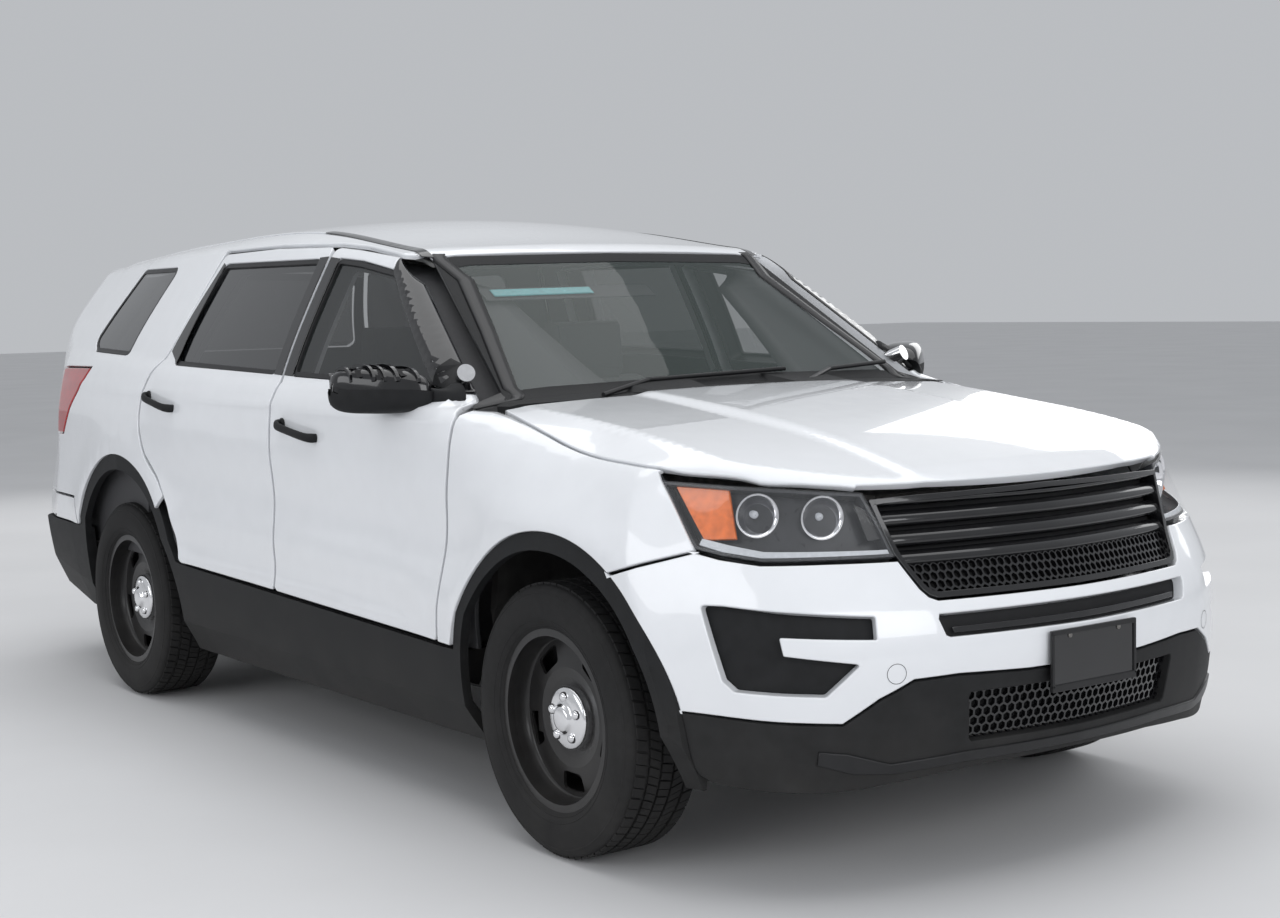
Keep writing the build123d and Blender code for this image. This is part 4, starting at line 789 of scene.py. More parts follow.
def moved(to, chart, points, gap=0.03):
    """An open line drawn in one chart, carried over to another."""
    p = np.asarray(points, float)
    out = []
    for a, b in zip(p[:-1], p[1:]):
        k = max(1, int(np.linalg.norm(b - a) / gap))
        out += [a + (b - a) * t / k for t in range(k)]
    out.append(p[-1])
    return [tuple(q) for q in to.uv(chart.place(np.array(out)))]


def trim_body(stem):
    return {"left": stem + "_l", "right": stem + "_r"}


FD = [(-1.001, 0.503), (0.012, 0.535), (0.018, 0.929), (0.026, 1.120), (0.012, 1.207),
      (0.008, 1.640), (-0.130, 1.628), (-0.410, 1.596), (-0.560, 1.510), (-1.020, 1.196),
      (-1.095, 1.144), (-1.082, 1.040), (-1.056, 0.852), (-1.012, 0.600)]
FW = [(-0.895, 1.222), (-0.048, 1.240), (-0.052, 1.588), (-0.200, 1.574), (-0.430, 1.540)]
RD = [(0.021, 0.536), (0.735, 0.558), (0.770, 0.650), (0.830, 0.748), (0.925, 0.850),
      (1.035, 0.930), (1.078, 1.010), (1.082, 1.120), (1.040, 1.215), (0.955, 1.300),
      (0.835, 1.640), (0.400, 1.648), (0.022, 1.641), (0.024, 1.207), (0.035, 1.120), (0.027, 0.929)]
RW = [(0.082, 1.243), (0.862, 1.262), (0.905, 1.290), (0.790, 1.592), (0.080, 1.590)]
QW = [(1.375, 1.290), (1.770, 1.300), (1.810, 1.330), (1.640, 1.590), (1.247, 1.590)]
fd = fillet(FD, [0.02, 0.02, 0.2, 0.3, 0.02, 0.03, 0.1, 0.1, 0.08, 0.04, 0.03, 0.2, 0.3, 0.3])
rd = fillet(RD, [0.02, 0.03, 0.15, 0.15, 0.15, 0.12, 0.15, 0.15, 0.15, 0.1, 0.05, 0.2, 0.03, 0.02, 0.3, 0.2])
fw = fillet(FW, [0.02, 0.02, 0.02, 0.06, 0.05])
rw = fillet(RW, [0.02, 0.04, 0.04, 0.03, 0.02])
qw = fillet(QW, [0.03, 0.05, 0.05, 0.03, 0.02])

# Hood, and its line carried to the side
HOOD_SIDE = [(0.552, -2.268), (0.640, -2.215), (0.739, -2.136), (0.820, -2.020), (0.866, -1.921),
             (0.876, -1.750), (0.875, -1.496), (0.866, -1.289), (0.852, -1.180)]
nose_lip = [tuple(q[:2]) for q in FRONT.place(np.array([(x, 0.990) for x in np.linspace(0, 0.545, 14)]))]
hood_smooth = [tuple(p) for p in curve(HOOD_SIDE, per=6)]
hood_outline = both_ways(nose_lip + hood_smooth + [(0.56, -1.197), (0.28, -1.224), (0.0, -1.233)])

front_arch = arc(*FRONT_ARCH, 57, 163.6)

# Fender: rear edge on the door, arch, seam to the bumper and the lamp, hood line on top
hood_on_side = moved(SIDE, PLAN, [p for p in hood_smooth if p[1] > -1.93])
door_front = [tuple(p) for p in curve([(-1.010, 0.503), (-1.019, 0.600), (-1.063, 0.852), (-1.089, 1.040),
                                       (-1.102, 1.144)], per=6)]
fender_line = [tuple(p) for p in front_arch] + door_front + [(-1.118, 1.158)]
fender_line += [p for p in reversed(hood_on_side) if p[0] < -1.15]
fender_line += [(-1.915, 1.028), (-2.049, 0.846)]
FD_SKIN = [(-1.001, 0.503), (0.012, 0.535), (0.018, 0.929), (0.026, 1.120), (0.012, 1.207), (0.008, 1.640),
           (-0.130, 1.628),
           (-0.402, 1.5965), (-0.418, 1.553), (-0.203, 1.5865), (-0.040, 1.600), (-0.036, 1.229),
           (-0.890, 1.2105),
           (-1.016, 1.196), (-1.095, 1.144), (-1.082, 1.040), (-1.056, 0.852), (-1.012, 0.600)]
fd_skin = fillet(FD_SKIN, [0.02, 0.02, 0.2, 0.3, 0.02, 0.03, 0.1, 0.004, 0.01, 0.05, 0.02, 0.02, 0.02, 0.02,
                           0.03, 0.2, 0.3, 0.3])
front_doors = panel("front_door_skin", SIDE, inset(fd_skin, G), M["paint"], trim_body("front_door"))
rear_doors = panel("rear_door_skin", SIDE, inset(rd, G), M["paint"], trim_body("rear_door"),
                   holes=[inset(rw, -0.012)])
fenders = panel("fender_skin", SIDE, inset(fillet(fender_line, 0.0), G), M["paint"], "body")
hoods = panel("hood_skin", PLAN, inset(fillet(hood_outline, 0.0), G), M["paint"], "hood_lid", sides="across",
              gap=0.02,
              hem=[(0.004, 0.0, 0.0), (0.0015, 0.0008, 0.55), (0.0, 0.0036, 1.0), (0.0, 0.020, 1.0)])


# Rear quarter with its pillar, from the rear door to the tailgate and the tail lamp
door_rear = [tuple(p) for p in curve([(0.8425, 1.648), (0.962, 1.302), (1.047, 1.218), (1.0895, 1.120),
                                      (1.0855, 1.008), (1.041, 0.924), (0.931, 0.8445), (0.868, 0.787)],
                                      per=7)]
# where the door's edge meets the arch trim, the arch takes over
quarter = [p for p in door_rear if math.hypot(p[0] - RA, p[1] - AXLE) > 0.552]
start_a = math.degrees(math.atan2(quarter[-1][1] - AXLE, RA - quarter[-1][0]))
arch_part = arc(*REAR_ARCH, start_a, 154)
quarter_line = quarter + [tuple(p) for p in arch_part] + [(1.858, 0.712)]
quarter_line += moved(SIDE, TAIL, [TAIL.uv(SIDE.place([(1.90, 0.712)]))[0],
                                   TAIL.uv(REAR.place([(0.655, 0.712)]))[0]])
gate_side = moved(SIDE, REAR, [(0.655, 0.760), (0.665, 0.945)])
quarter_line += gate_side
quarter_line += [(1.992, 0.957), (1.890, 1.065), (1.697, 1.229), (2.020, 1.225)]
quarter_line += moved(SIDE, REAR, [(0.665, 1.194), (0.660, 1.290), (0.581, 1.612)])
quarter_line += moved(SIDE, PLAN, [(0.600, 2.150), (0.640, 2.030), (0.640, 1.500), (0.640, 0.840),
                                   (0.640, 0.000), (0.640, -0.300), (0.641, -0.425)])
quarter_line += [(-0.426, 1.594), (-0.128, 1.634), (0.015, 1.6465), (0.400, 1.6545)]
quarters = panel("quarter_skin", SIDE, inset(fillet(quarter_line, 0.0), G), M["paint"], "body",
                 holes=[inset(qw, -0.012)], gap=0.024)

header = [tuple(q[:2]) for q in FRONT.place(np.array([(x, z) for x,
                                                      z in ((0.0, 1.604), (0.15, 1.6035), (0.30, 1.603),
                                                            (0.45, 1.600), (0.56, 1.597), (0.636, 1.589))]))]
roof_line = both_ways(header + [(0.637, -0.30), (0.637, 0.80), (0.637, 2.022), (0.45, 2.024), (0.0, 2.028)])
roof_skin = panel("roof_skin", PLAN, inset(fillet(roof_line, 0.0), 0.001), M["paint"], "body", sides="across",
                  gap=0.03)["across"]
panel("roof_ditch", PLAN, fillet([(0.610, 0.25), (0.643, 0.25), (0.662, -0.30), (0.668, -0.435),
                                  (0.632, -0.452)], 0.004),
                M["gloss"], "body", offset=0.0016, hem=[(0.002, 0, 0), (0.0006, 0.0004, 0.5), (0, 0.003, 1)])


# Tailgate, its spoiler and window
gate_half = [(0.0, 0.716), (0.560, 0.716), (0.645, 0.762), (0.655, 0.945), (0.657, 1.000), (0.656, 1.190),
             (0.651, 1.290), (0.572, 1.612), (0.540, 1.634), (0.0, 1.640)]
gate_window = [(0.0, 1.262), (0.560, 1.262), (0.588, 1.290), (0.530, 1.560), (0.500, 1.588), (0.0, 1.600)]
gate = panel("tailgate_skin", REAR, inset(fillet(both_ways(gate_half), 0.012), G), M["paint"], "rear_gate",
             sides="across",
             holes=[fillet(both_ways([(x * 1.02, z - 0.012 if z < 1.3 else z + 0.010) for x,
                                      z in gate_window]), 0.03)], gap=0.028)["across"]
panel("tailgate_spoiler", PLAN, fillet(both_ways([(0.0, 2.036), (0.545, 2.034), (0.545, 2.17), (0.48, 2.205),
                                                  (0.0, 2.235)]), 0.01),
                M["paint"], "rear_gate", sides="across", offset=0.004, gap=0.03)["across"]
gate_pane = panel("tailgate_window", REAR, fillet(both_ways(gate_window), 0.02), M["dark_glass"], "rear_gate",
                  sides="across", offset=-0.010, gap=0.04)["across"]

# Glass
small = [(0.003, 0, 0), (0.0008, 0.0006, 0.5), (0, 0.004, 1)]
fw_panes = panel("front_door_pane", SIDE, fw, M["side_glass"], trim_body("front_door"), offset=-0.011,
                 gap=0.05, hem=small)
rw_panes = panel("rear_door_pane", SIDE, rw, M["dark_glass"], trim_body("rear_door"), offset=-0.011, gap=0.05,
                 hem=small)
qw_panes = panel("quarter_pane", SIDE, qw, M["dark_glass"], "body", offset=-0.005, gap=0.05, hem=small)
screen_line = both_ways([(0.0, 1.200), (0.640, 1.186), (0.768, 1.178), (0.632, 1.582), (0.560, 1.593),
                         (0.0, 1.600)])
screen = panel("windscreen_pane", FRONT, fillet(screen_line, 0.012), M["glass"], "body", sides="across",
               offset=-0.004, gap=0.05, hem=small)["across"]


def ring(name, chart, outer, inner_, mat, body, sides="both", offset=0.0, gap=0.03, depth=0.012):
    """A band between two outlines."""
    return panel(name, chart, outer, mat, body, sides, holes=[inner_], offset=offset, gap=gap,
                 hem=[(0.0018, 0, 0), (0.0006, 0.0006, 0.6), (0, 0.002, 1), (0, depth, 1)])


# Black bands round the windows, the pillars between the doors and by the windscreen
ring("front_window_band", SIDE, inset(fw, -0.0115), inset(fw, 0.003), M["satin"], trim_body("front_door"),
     offset=-0.0035)
ring("rear_window_band", SIDE, inset(rw, -0.0115), inset(rw, 0.003), M["satin"], trim_body("rear_door"),
     offset=-0.0035)
ring("quarter_window_band", SIDE, inset(qw, -0.0115), inset(qw, 0.003), M["satin"], "body", offset=-0.002)
ring("windscreen_band", FRONT, fillet(both_ways([(0.0, 1.192), (0.640, 1.178), (0.778, 1.170), (0.638, 1.586),
                                                 (0.562, 1.596), (0.0, 1.603)]), 0.01),
     fillet(both_ways([(0.0, 1.222), (0.620, 1.208), (0.738, 1.200), (0.606, 1.556), (0.540, 1.566),
                       (0.0, 1.573)]), 0.02), M["plastic"], "body", "across", offset=-0.0025)
patch = [(0.002, 0, 0), (0.0007, 0.0005, 0.5), (0, 0.003, 1)]
panel("front_door_pillar", SIDE, [(-0.046, 1.226), (0.010, 1.228), (0.006, 1.606), (-0.050, 1.600)],
      M["gloss"], trim_body("front_door"), offset=0.0014, gap=0.04, hem=patch)
panel("rear_door_pillar", SIDE, [(0.026, 1.228), (0.080, 1.230), (0.078, 1.606), (0.024, 1.608)], M["gloss"],
      trim_body("rear_door"), offset=0.0014, gap=0.04, hem=patch)
panel("rear_door_corner", SIDE, [(0.868, 1.252), (0.946, 1.296), (0.812, 1.608), (0.792, 1.600)], M["gloss"],
      trim_body("rear_door"), offset=0.0014, gap=0.04, hem=patch)
panel("front_door_frame", SIDE, [(-1.010, 1.199), (-0.888, 1.2125), (-0.420, 1.550), (-0.404, 1.594),
                                 (-0.556, 1.508)], M["gloss"], trim_body("front_door"), gap=0.02, hem=patch)
edge = [(-1.102, 1.158), (-1.026, 1.2045), (-0.795, 1.3625), (-0.566, 1.518), (-0.430, 1.602)]
post_side = edge + [(y - 0.010, z) for y, z in reversed(edge)]
panel("front_post_side", SIDE, ccw(post_side), M["satin"], "body", gap=0.02, offset=0.0012, hem=patch)
door_edge = SIDE.place(np.array([(y - 0.005, z) for y, z in edge]))
post = [(p[0], p[2]) for p in door_edge] + [(0.641, 1.586), (0.709, 1.380), (0.775, 1.174)]
panel("front_post", FRONT, post, M["satin"], "body", gap=0.02, offset=-0.0040, hem=patch)

for made, node in ((front_doors, "front_door"), (rear_doors, "rear_door"), (fenders, "fender"),
                   (quarters, "body_side")):
    for s in ("left", "right"):
        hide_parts(node + "_" + s)
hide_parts("hood")
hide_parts("roof")
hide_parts("tailgate")
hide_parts("tailgate_glass")
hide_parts("windscreen")
for s in ("left", "right"):
    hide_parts("front_door_glass_" + s)
    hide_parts("rear_door_glass_" + s)
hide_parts("quarter_glass")
# Front end
DEEP = [(0.0042, 0.0, 0.0), (0.0016, 0.0007, 0.55), (0.0, 0.0036, 1.0), (0.0, 0.028, 1.0)]


def nose(points):
    """Places (x, z) seen from the front, carried over to the nose's chart."""
    p = FRONT.place(np.asarray(points, float))
    return [tuple(q) for q in NOSE.uv(p)]


def nose3(points):
    return [tuple(q) for q in NOSE.uv(np.asarray(points, float))]


def line_between(points, gap=0.02):
    p = np.asarray(points, float)
    out = []
    for a, b in zip(p[:-1], p[1:]):
        k = max(1, int(np.linalg.norm(b - a) / gap))
        out += [tuple(a + (b - a) * t / k) for t in range(k)]
    return out + [tuple(p[-1])]


LAMP = [(0.890, -1.908, 1.026), (0.880, -1.916, 1.014), (0.739, -2.136, 1.000), (0.531, -2.271, 0.982),
        (0.512, -2.318, 0.905),
        (0.493, -2.356, 0.823), (0.652, -2.286, 0.823), (0.784, -2.186, 0.822), (0.839, -2.104, 0.834),
        (0.876, -2.040, 0.848)]
lamp_line = fillet(nose3(LAMP), [0.01, 0.0, 0.0, 0.01, 0.0, 0.008, 0.0, 0.0, 0.02, 0.02])
lamp_low = [(0.493, -2.356, 0.818), (0.652, -2.286, 0.818), (0.784, -2.186, 0.817), (0.842, -2.102, 0.829),
            (0.880, -2.040, 0.843)]
arch_low = [tuple(p) for p in arc(*FRONT_ARCH, 11.8, 57, 24)]
white_low = [(0.0, 0.537), (0.20, 0.537), (0.404, 0.545), (0.521, 0.541), (0.601, 0.500), (0.676, 0.443)]
half_bumper = nose(line_between(white_low))
half_bumper += [(nose3([(0.824, -2.224, 0.452)])[0]), (nose3([(0.936, -2.038, 0.465)])[0])]
half_bumper += [tuple(q) for q in NOSE.uv(SIDE.place(np.array(arch_low)))]
half_bumper += [tuple(q) for q in NOSE.uv(SIDE.place(np.array([(-1.838, 0.776), (-1.93, 0.805),
    (-2.049, 0.842)])))]
half_bumper += list(reversed(nose3(lamp_low)))
half_bumper = half_bumper[:-1] + nose([(0.497, 0.817), (0.470, 0.752), (0.455, 0.733),
                                       (0.434, 0.724)]) + nose(line_between([(0.40, 0.724), (0.0, 0.724)]))
slot_hole = both_ways(nose(line_between([(0.0, 0.6935), (0.443, 0.691), (0.447, 0.680), (0.435, 0.642),
                                         (0.425, 0.6365), (0.0, 0.6365)])))
FOG = [(0.884, -2.082, 0.720), (0.860, -2.134, 0.7205), (0.600, -2.383, 0.695), (0.605, -2.394, 0.643),
       (0.793, -2.260, 0.653),
       (0.789, -2.271, 0.609), (0.643, -2.380, 0.586), (0.713, -2.334, 0.511), (0.859, -2.172, 0.520),
       (0.873, -2.146, 0.544)]
fog_line = fillet(nose3(FOG), [0.01, 0.02, 0.006, 0.004, 0.006, 0.006, 0.006, 0.012, 0.012, 0.012])
fog_other = [(-a, b) for a, b in fog_line][::-1]
bumper = panel("front_bumper_skin", NOSE, inset(fillet(both_ways(half_bumper), 0.0), G), M["paint"], "body",
               sides="across",
               holes=[slot_hole, fog_line, fog_other], gap=0.022, hem=DEEP)["across"]
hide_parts("front_bumper")

# Recesses behind the openings: black plastic behind the fog lamps, and a dark sheet behind the slot that is
# painted shade
for tag, s in (("right", -1), ("left", 1)):
    pocket = [(-a, b) for a, b in fog_line] if s < 0 else list(fog_line)
    panel("fog_recess_" + tag, NOSE, inset(ccw(pocket), -0.006), M["plastic"], "body",
                 sides="across", offset=-0.030, gap=0.03, hem=patch)
# The dark sheet behind the slot is painted shade, in the gap_shadow finish
panel("slot_painted_shade", NOSE, inset(ccw(slot_hole), -0.006), M["gap"], "body", sides="across",
      offset=-0.030, gap=0.04, hem=patch)
panel("slot_lip", NOSE, both_ways(nose(line_between([(0.0, 0.662), (0.41, 0.660), (0.405, 0.645),
                                                     (0.0, 0.645)]))), M["gloss"], "body", sides="across",
      offset=-0.016, gap=0.04, hem=patch)


# Lower valance with its air opening, and the lip under it
low_edge = [(0.0, 0.312), (0.30, 0.306), (0.50, 0.290), (0.62, 0.276), (0.70, 0.270)]
half_valance = [(t, z - 0.003) for t, z in (nose(line_between(white_low)) + [nose3([(0.824, -2.224,
    0.452)])[0], nose3([(0.936, -2.038, 0.465)])[0]])]
half_valance += [tuple(q) for q in NOSE.uv(SIDE.place(np.array(arc(*FRONT_ARCH, 11.0, -7.0, 8))))]
half_valance += [nose3([(0.88, -2.10, 0.285)])[0]] + list(reversed(nose(line_between(low_edge))))
air_hole = both_ways(nose(line_between([(0.0, 0.496), (0.366, 0.496), (0.371, 0.486), (0.358, 0.380),
                                        (0.350, 0.372), (0.0, 0.372)])))
valance = panel("lower_valance_skin", NOSE, inset(fillet(both_ways(half_valance), 0.0), 0.0005), M["plastic"],
                "body", sides="across",
                holes=[air_hole], gap=0.026, offset=-0.0015, hem=DEEP)["across"]
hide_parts("lower_valance")
# A dark sheet behind the air opening: painted shade, in the gap_shadow finish
panel("air_painted_shade", NOSE, inset(ccw(air_hole), -0.006), M["gap"], "body", sides="across",
      offset=-0.040, gap=0.05, hem=patch)
lip = nose(line_between([(0.0, 0.352), (0.36, 0.350), (0.56, 0.340), (0.66, 0.372), (0.72, 0.380),
                         (0.72, 0.345), (0.64, 0.318), (0.55, 0.312), (0.36, 0.322), (0.0, 0.326)]))
panel("skid_lip", NOSE, both_ways(lip), M["satin"], "body", sides="across", offset=0.004, gap=0.03,
      hem=[(0.004, 0, 0), (0.0015, 0.0015, 0.6), (0, 0.006, 1)])


def honeycomb(name, chart, outline, cell, web, offset, depth, mat, body):
    """A web of six-sided cells inside an outline, as one mesh."""
    q = np.asarray(outline, float)
    px, pz = cell + web, (cell + web) * math.sqrt(3) / 2
    lo, hi = q.min(0), q.max(0)
    ang = np.radians([30 + 60 * k for k in range(6)])
    r_out, r_in = (cell + web) / math.sqrt(3), cell / math.sqrt(3)
    uv, cells = [], 0
    row = 0
    z = lo[1] + pz / 2
    while z < hi[1] + pz / 2:
        x = -px * 60 + (px / 2 if row % 2 else 0.0)
        while x < hi[0] + px:
            if x > lo[0] - px and inside(np.array([(x, z)]), q)[0]:
                for r in (r_out, r_in):
                    uv += [(x + r * math.cos(a), z + r * math.sin(a)) for a in ang]
                cells += 1
            x += px
        row += 1
        z += pz
    p = chart.place(np.array(uv))
    n = normals(p)
    front = p + n * offset
    back = p + n * (offset - depth)
    verts, faces = [], []
    for c_ in range(cells):
        b = c_ * 12
        base = len(verts)
        verts += [tuple(v) for v in front[b:b + 12]] + [tuple(v) for v in back[b + 6:b + 12]]
        for k in range(6):
            j = (k + 1) % 6
            faces.append((base + k, base + j, base + 6 + j, base + 6 + k))
            faces.append((base + 6 + k, base + 6 + j, base + 12 + j, base + 12 + k))
    return mesh_object(name, verts, faces, mat, body, smooth=False)


air_region = inset(ccw(air_hole), -0.012)
honeycomb("air_mesh", NOSE, air_region, 0.020, 0.0055, -0.020, 0.012, M["gloss"], "body")

# Grille: rim, bars and comb
grille_line = [(0.0, 0.728), (0.432, 0.728), (0.450, 0.735), (0.464, 0.750), (0.500, 0.830), (0.530, 0.962),
               (0.40, 0.968), (0.0, 0.976)]
g_out = inset(fillet(both_ways(grille_line), 0.006), 0.001)
g_in = inset(fillet(both_ways(grille_line), 0.006), 0.015)
grille_rim = ring("grille_rim", FRONT, g_out, g_in, M["gloss"], "body", "across", offset=-0.004, gap=0.03,
                  depth=0.035)["across"]
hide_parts("grille")
# A dark sheet behind the grille: painted shade, in the gap_shadow finish
panel("grille_painted_shade", FRONT, inset(g_out, 0.004), M["gap"], "body", sides="across", offset=-0.050, gap=0.06,
      hem=patch)


def grille_half(z):
    for (x0, z0), (x1, z1) in zip(grille_line[1:6], grille_line[2:6]):
        if z0 <= z <= z1:
            return x0 + (x1 - x0) * (z - z0) / (z1 - z0)
    return 0.528


def bar(name, z0, z1, off, mat):
    """One grille bar: a strip across with a rolled face, standing out from the recess."""
    rows = [(0.0, -0.030), (0.05, -0.006), (0.22, 0.0), (0.5, -0.002), (0.72, -0.006), (0.78, -0.0105),
            (0.97, -0.013), (1.0, -0.036)]
    verts, faces = [], []
    nx = 44
    for t, d in rows:
        z = z0 + (z1 - z0) * t
        w = grille_half(z) - 0.010
        pts = FRONT.place(np.array([(-w + 2 * w * k / nx, z) for k in range(nx + 1)]))
        nn = normals(pts)
        verts += [tuple(p) for p in pts + nn * (off + d)]
    for r in range(len(rows) - 1):
        for k in range(nx):
            a = r * (nx + 1) + k
            faces.append((a, a + 1, a + nx + 2, a + nx + 1))
    return mesh_object(name, verts, faces, mat, "body")


bar("grille_top_bar", 0.946, 0.966, -0.004, M["gloss"])
bar("grille_bar_a", 0.899, 0.937, -0.008, M["gloss"])
bar("grille_bar_b", 0.853, 0.891, -0.010, M["gloss"])
bar("grille_bar_c", 0.810, 0.845, -0.012, M["gloss"])
comb = both_ways([(0.0, 0.736), (0.430, 0.736), (0.456, 0.752), (0.482, 0.808), (0.0, 0.808)])
honeycomb("grille_comb", FRONT, np.array(comb), 0.0165, 0.005, -0.020, 0.012, M["gloss"], "body")

# Headlamps: lens, housing, frame, amber reflector and light guide
for tag, s in (("right", -1), ("left", 1)):
    def way(pts, sgn=s):
        return ccw([(sgn * a, b) for a, b in pts])
    lens = panel("headlamp_lens_" + tag, NOSE,
                 way(inset(lamp_line if area(np.array(lamp_line)) > 0 else lamp_line[::-1], 0.003)),
                 M["lens"], "body", sides="across",
                 offset=-0.0015, gap=0.03, hem=[(0.004, 0, 0), (0.0015, 0.001, 0.6), (0, 0.004, 1),
                                                (0, 0.012, 1)])["across"]
    if s < 0:
        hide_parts("headlamps")
    panel("headlamp_back_" + tag, NOSE, way(inset(lamp_line, 0.001)), M["bezel"], "body", sides="across",
          offset=-0.055, gap=0.04, hem=patch)
    inner_line = inset(lamp_line, 0.013)
    ring("headlamp_frame_" + tag, NOSE, way(inset(lamp_line, 0.0045)), way(inner_line), M["bezel"], "body",
         "across", offset=-0.010, gap=0.03, depth=0.045)
    amber = nose3([(0.868, -1.955, 1.000), (0.785, -2.070, 0.995), (0.800, -2.115, 0.880),
                   (0.852, -2.050, 0.875)])
    panel("headlamp_amber_" + tag, NOSE, way(fillet(amber, 0.004)), M["amber"], "body", sides="across",
          offset=-0.022, gap=0.03, hem=[(0.003, 0, 0), (0.001, 0.001, 0.6), (0, 0.01, 1)])
    guide = nose3([(0.852, -2.040, 0.862), (0.836, -2.104, 0.846), (0.782, -2.186, 0.834),
                   (0.652, -2.286, 0.834), (0.510, -2.350, 0.834),
                   (0.513, -2.345, 0.846), (0.650, -2.283, 0.848), (0.775, -2.186, 0.850),
                   (0.822, -2.110, 0.864), (0.846, -2.044, 0.878)])
    panel("headlamp_guide_" + tag, NOSE, way(fillet(guide, 0.003)), M["lightpipe"], "body", sides="across",
          offset=-0.012, gap=0.03, hem=patch)


# Wheels
def lathe(name, profile, mat, body, centre, count):
    """A ring turned about the car's cross axis: profile of (x from the wheel's middle plane, radius)."""
    verts, faces = [], []
    m = len(profile)
    for k in range(count):
        a = 2 * math.pi * k / count
        for x, r in profile:
            verts.append((centre[0] + x, centre[1] + r * math.cos(a), centre[2] + r * math.sin(a)))
    for k in range(count):
        j = (k + 1) % count
        for i in range(m - 1):
            faces.append((k * m + i, k * m + i + 1, j * m + i + 1, j * m + i))
    return mesh_object(name, verts, faces, mat, body)


def rounded(points, per=4):
    return [tuple(p) for p in curve(points, per=per, tension=1.0)]


def tread(name, sgn, centre, mat, body):
    """The road band: five ribs, cut into blocks."""
    rr = 0.3625
    ribs = [(-0.096, -0.066), (-0.056, -0.024), (-0.016, 0.016), (0.024, 0.056), (0.066, 0.096)]
    verts, faces = [], []
    count = 72

    def block(x0, x1, a0, a1, skew, top, low):
        base = len(verts)
        for r in (low, top):
            for x, a in ((x0, a0), (x1, a0 + skew), (x1, a1 + skew), (x0, a1)):
                drop = 0.0015 * (abs(x) / 0.096) ** 3
                verts.append((centre[0] + sgn * x, centre[1] + (r - drop) * math.cos(a),
                              centre[2] + (r - drop) * math.sin(a)))
        b = base
        quads = [(b + 4, b + 5, b + 6, b + 7), (b, b + 1, b + 5, b + 4), (b + 1, b + 2, b + 6, b + 5),
                 (b + 2, b + 3, b + 7, b + 6), (b + 3, b, b + 4, b + 7)]
        faces.extend(quads if sgn > 0 else [tuple(reversed(q)) for q in quads])

    for ri, (x0, x1) in enumerate(ribs):
        n = count if ri in (0, 4) else 96
        step_ = 2 * math.pi / n
        for k in range(n):
            a0 = k * step_ + (0.4 * step_ if ri % 2 else 0)
            cut = 0.10 if k % 2 else 0.22
            skew = (0.55 if ri in (1, 3) else 0.25) * step_ * (1 if ri < 2 else -1)
            block(x0, x1, a0, a0 + step_ * (1 - cut), skew, rr, rr - 0.0085)
    return mesh_object(name, verts, faces, mat, body, smooth=False)


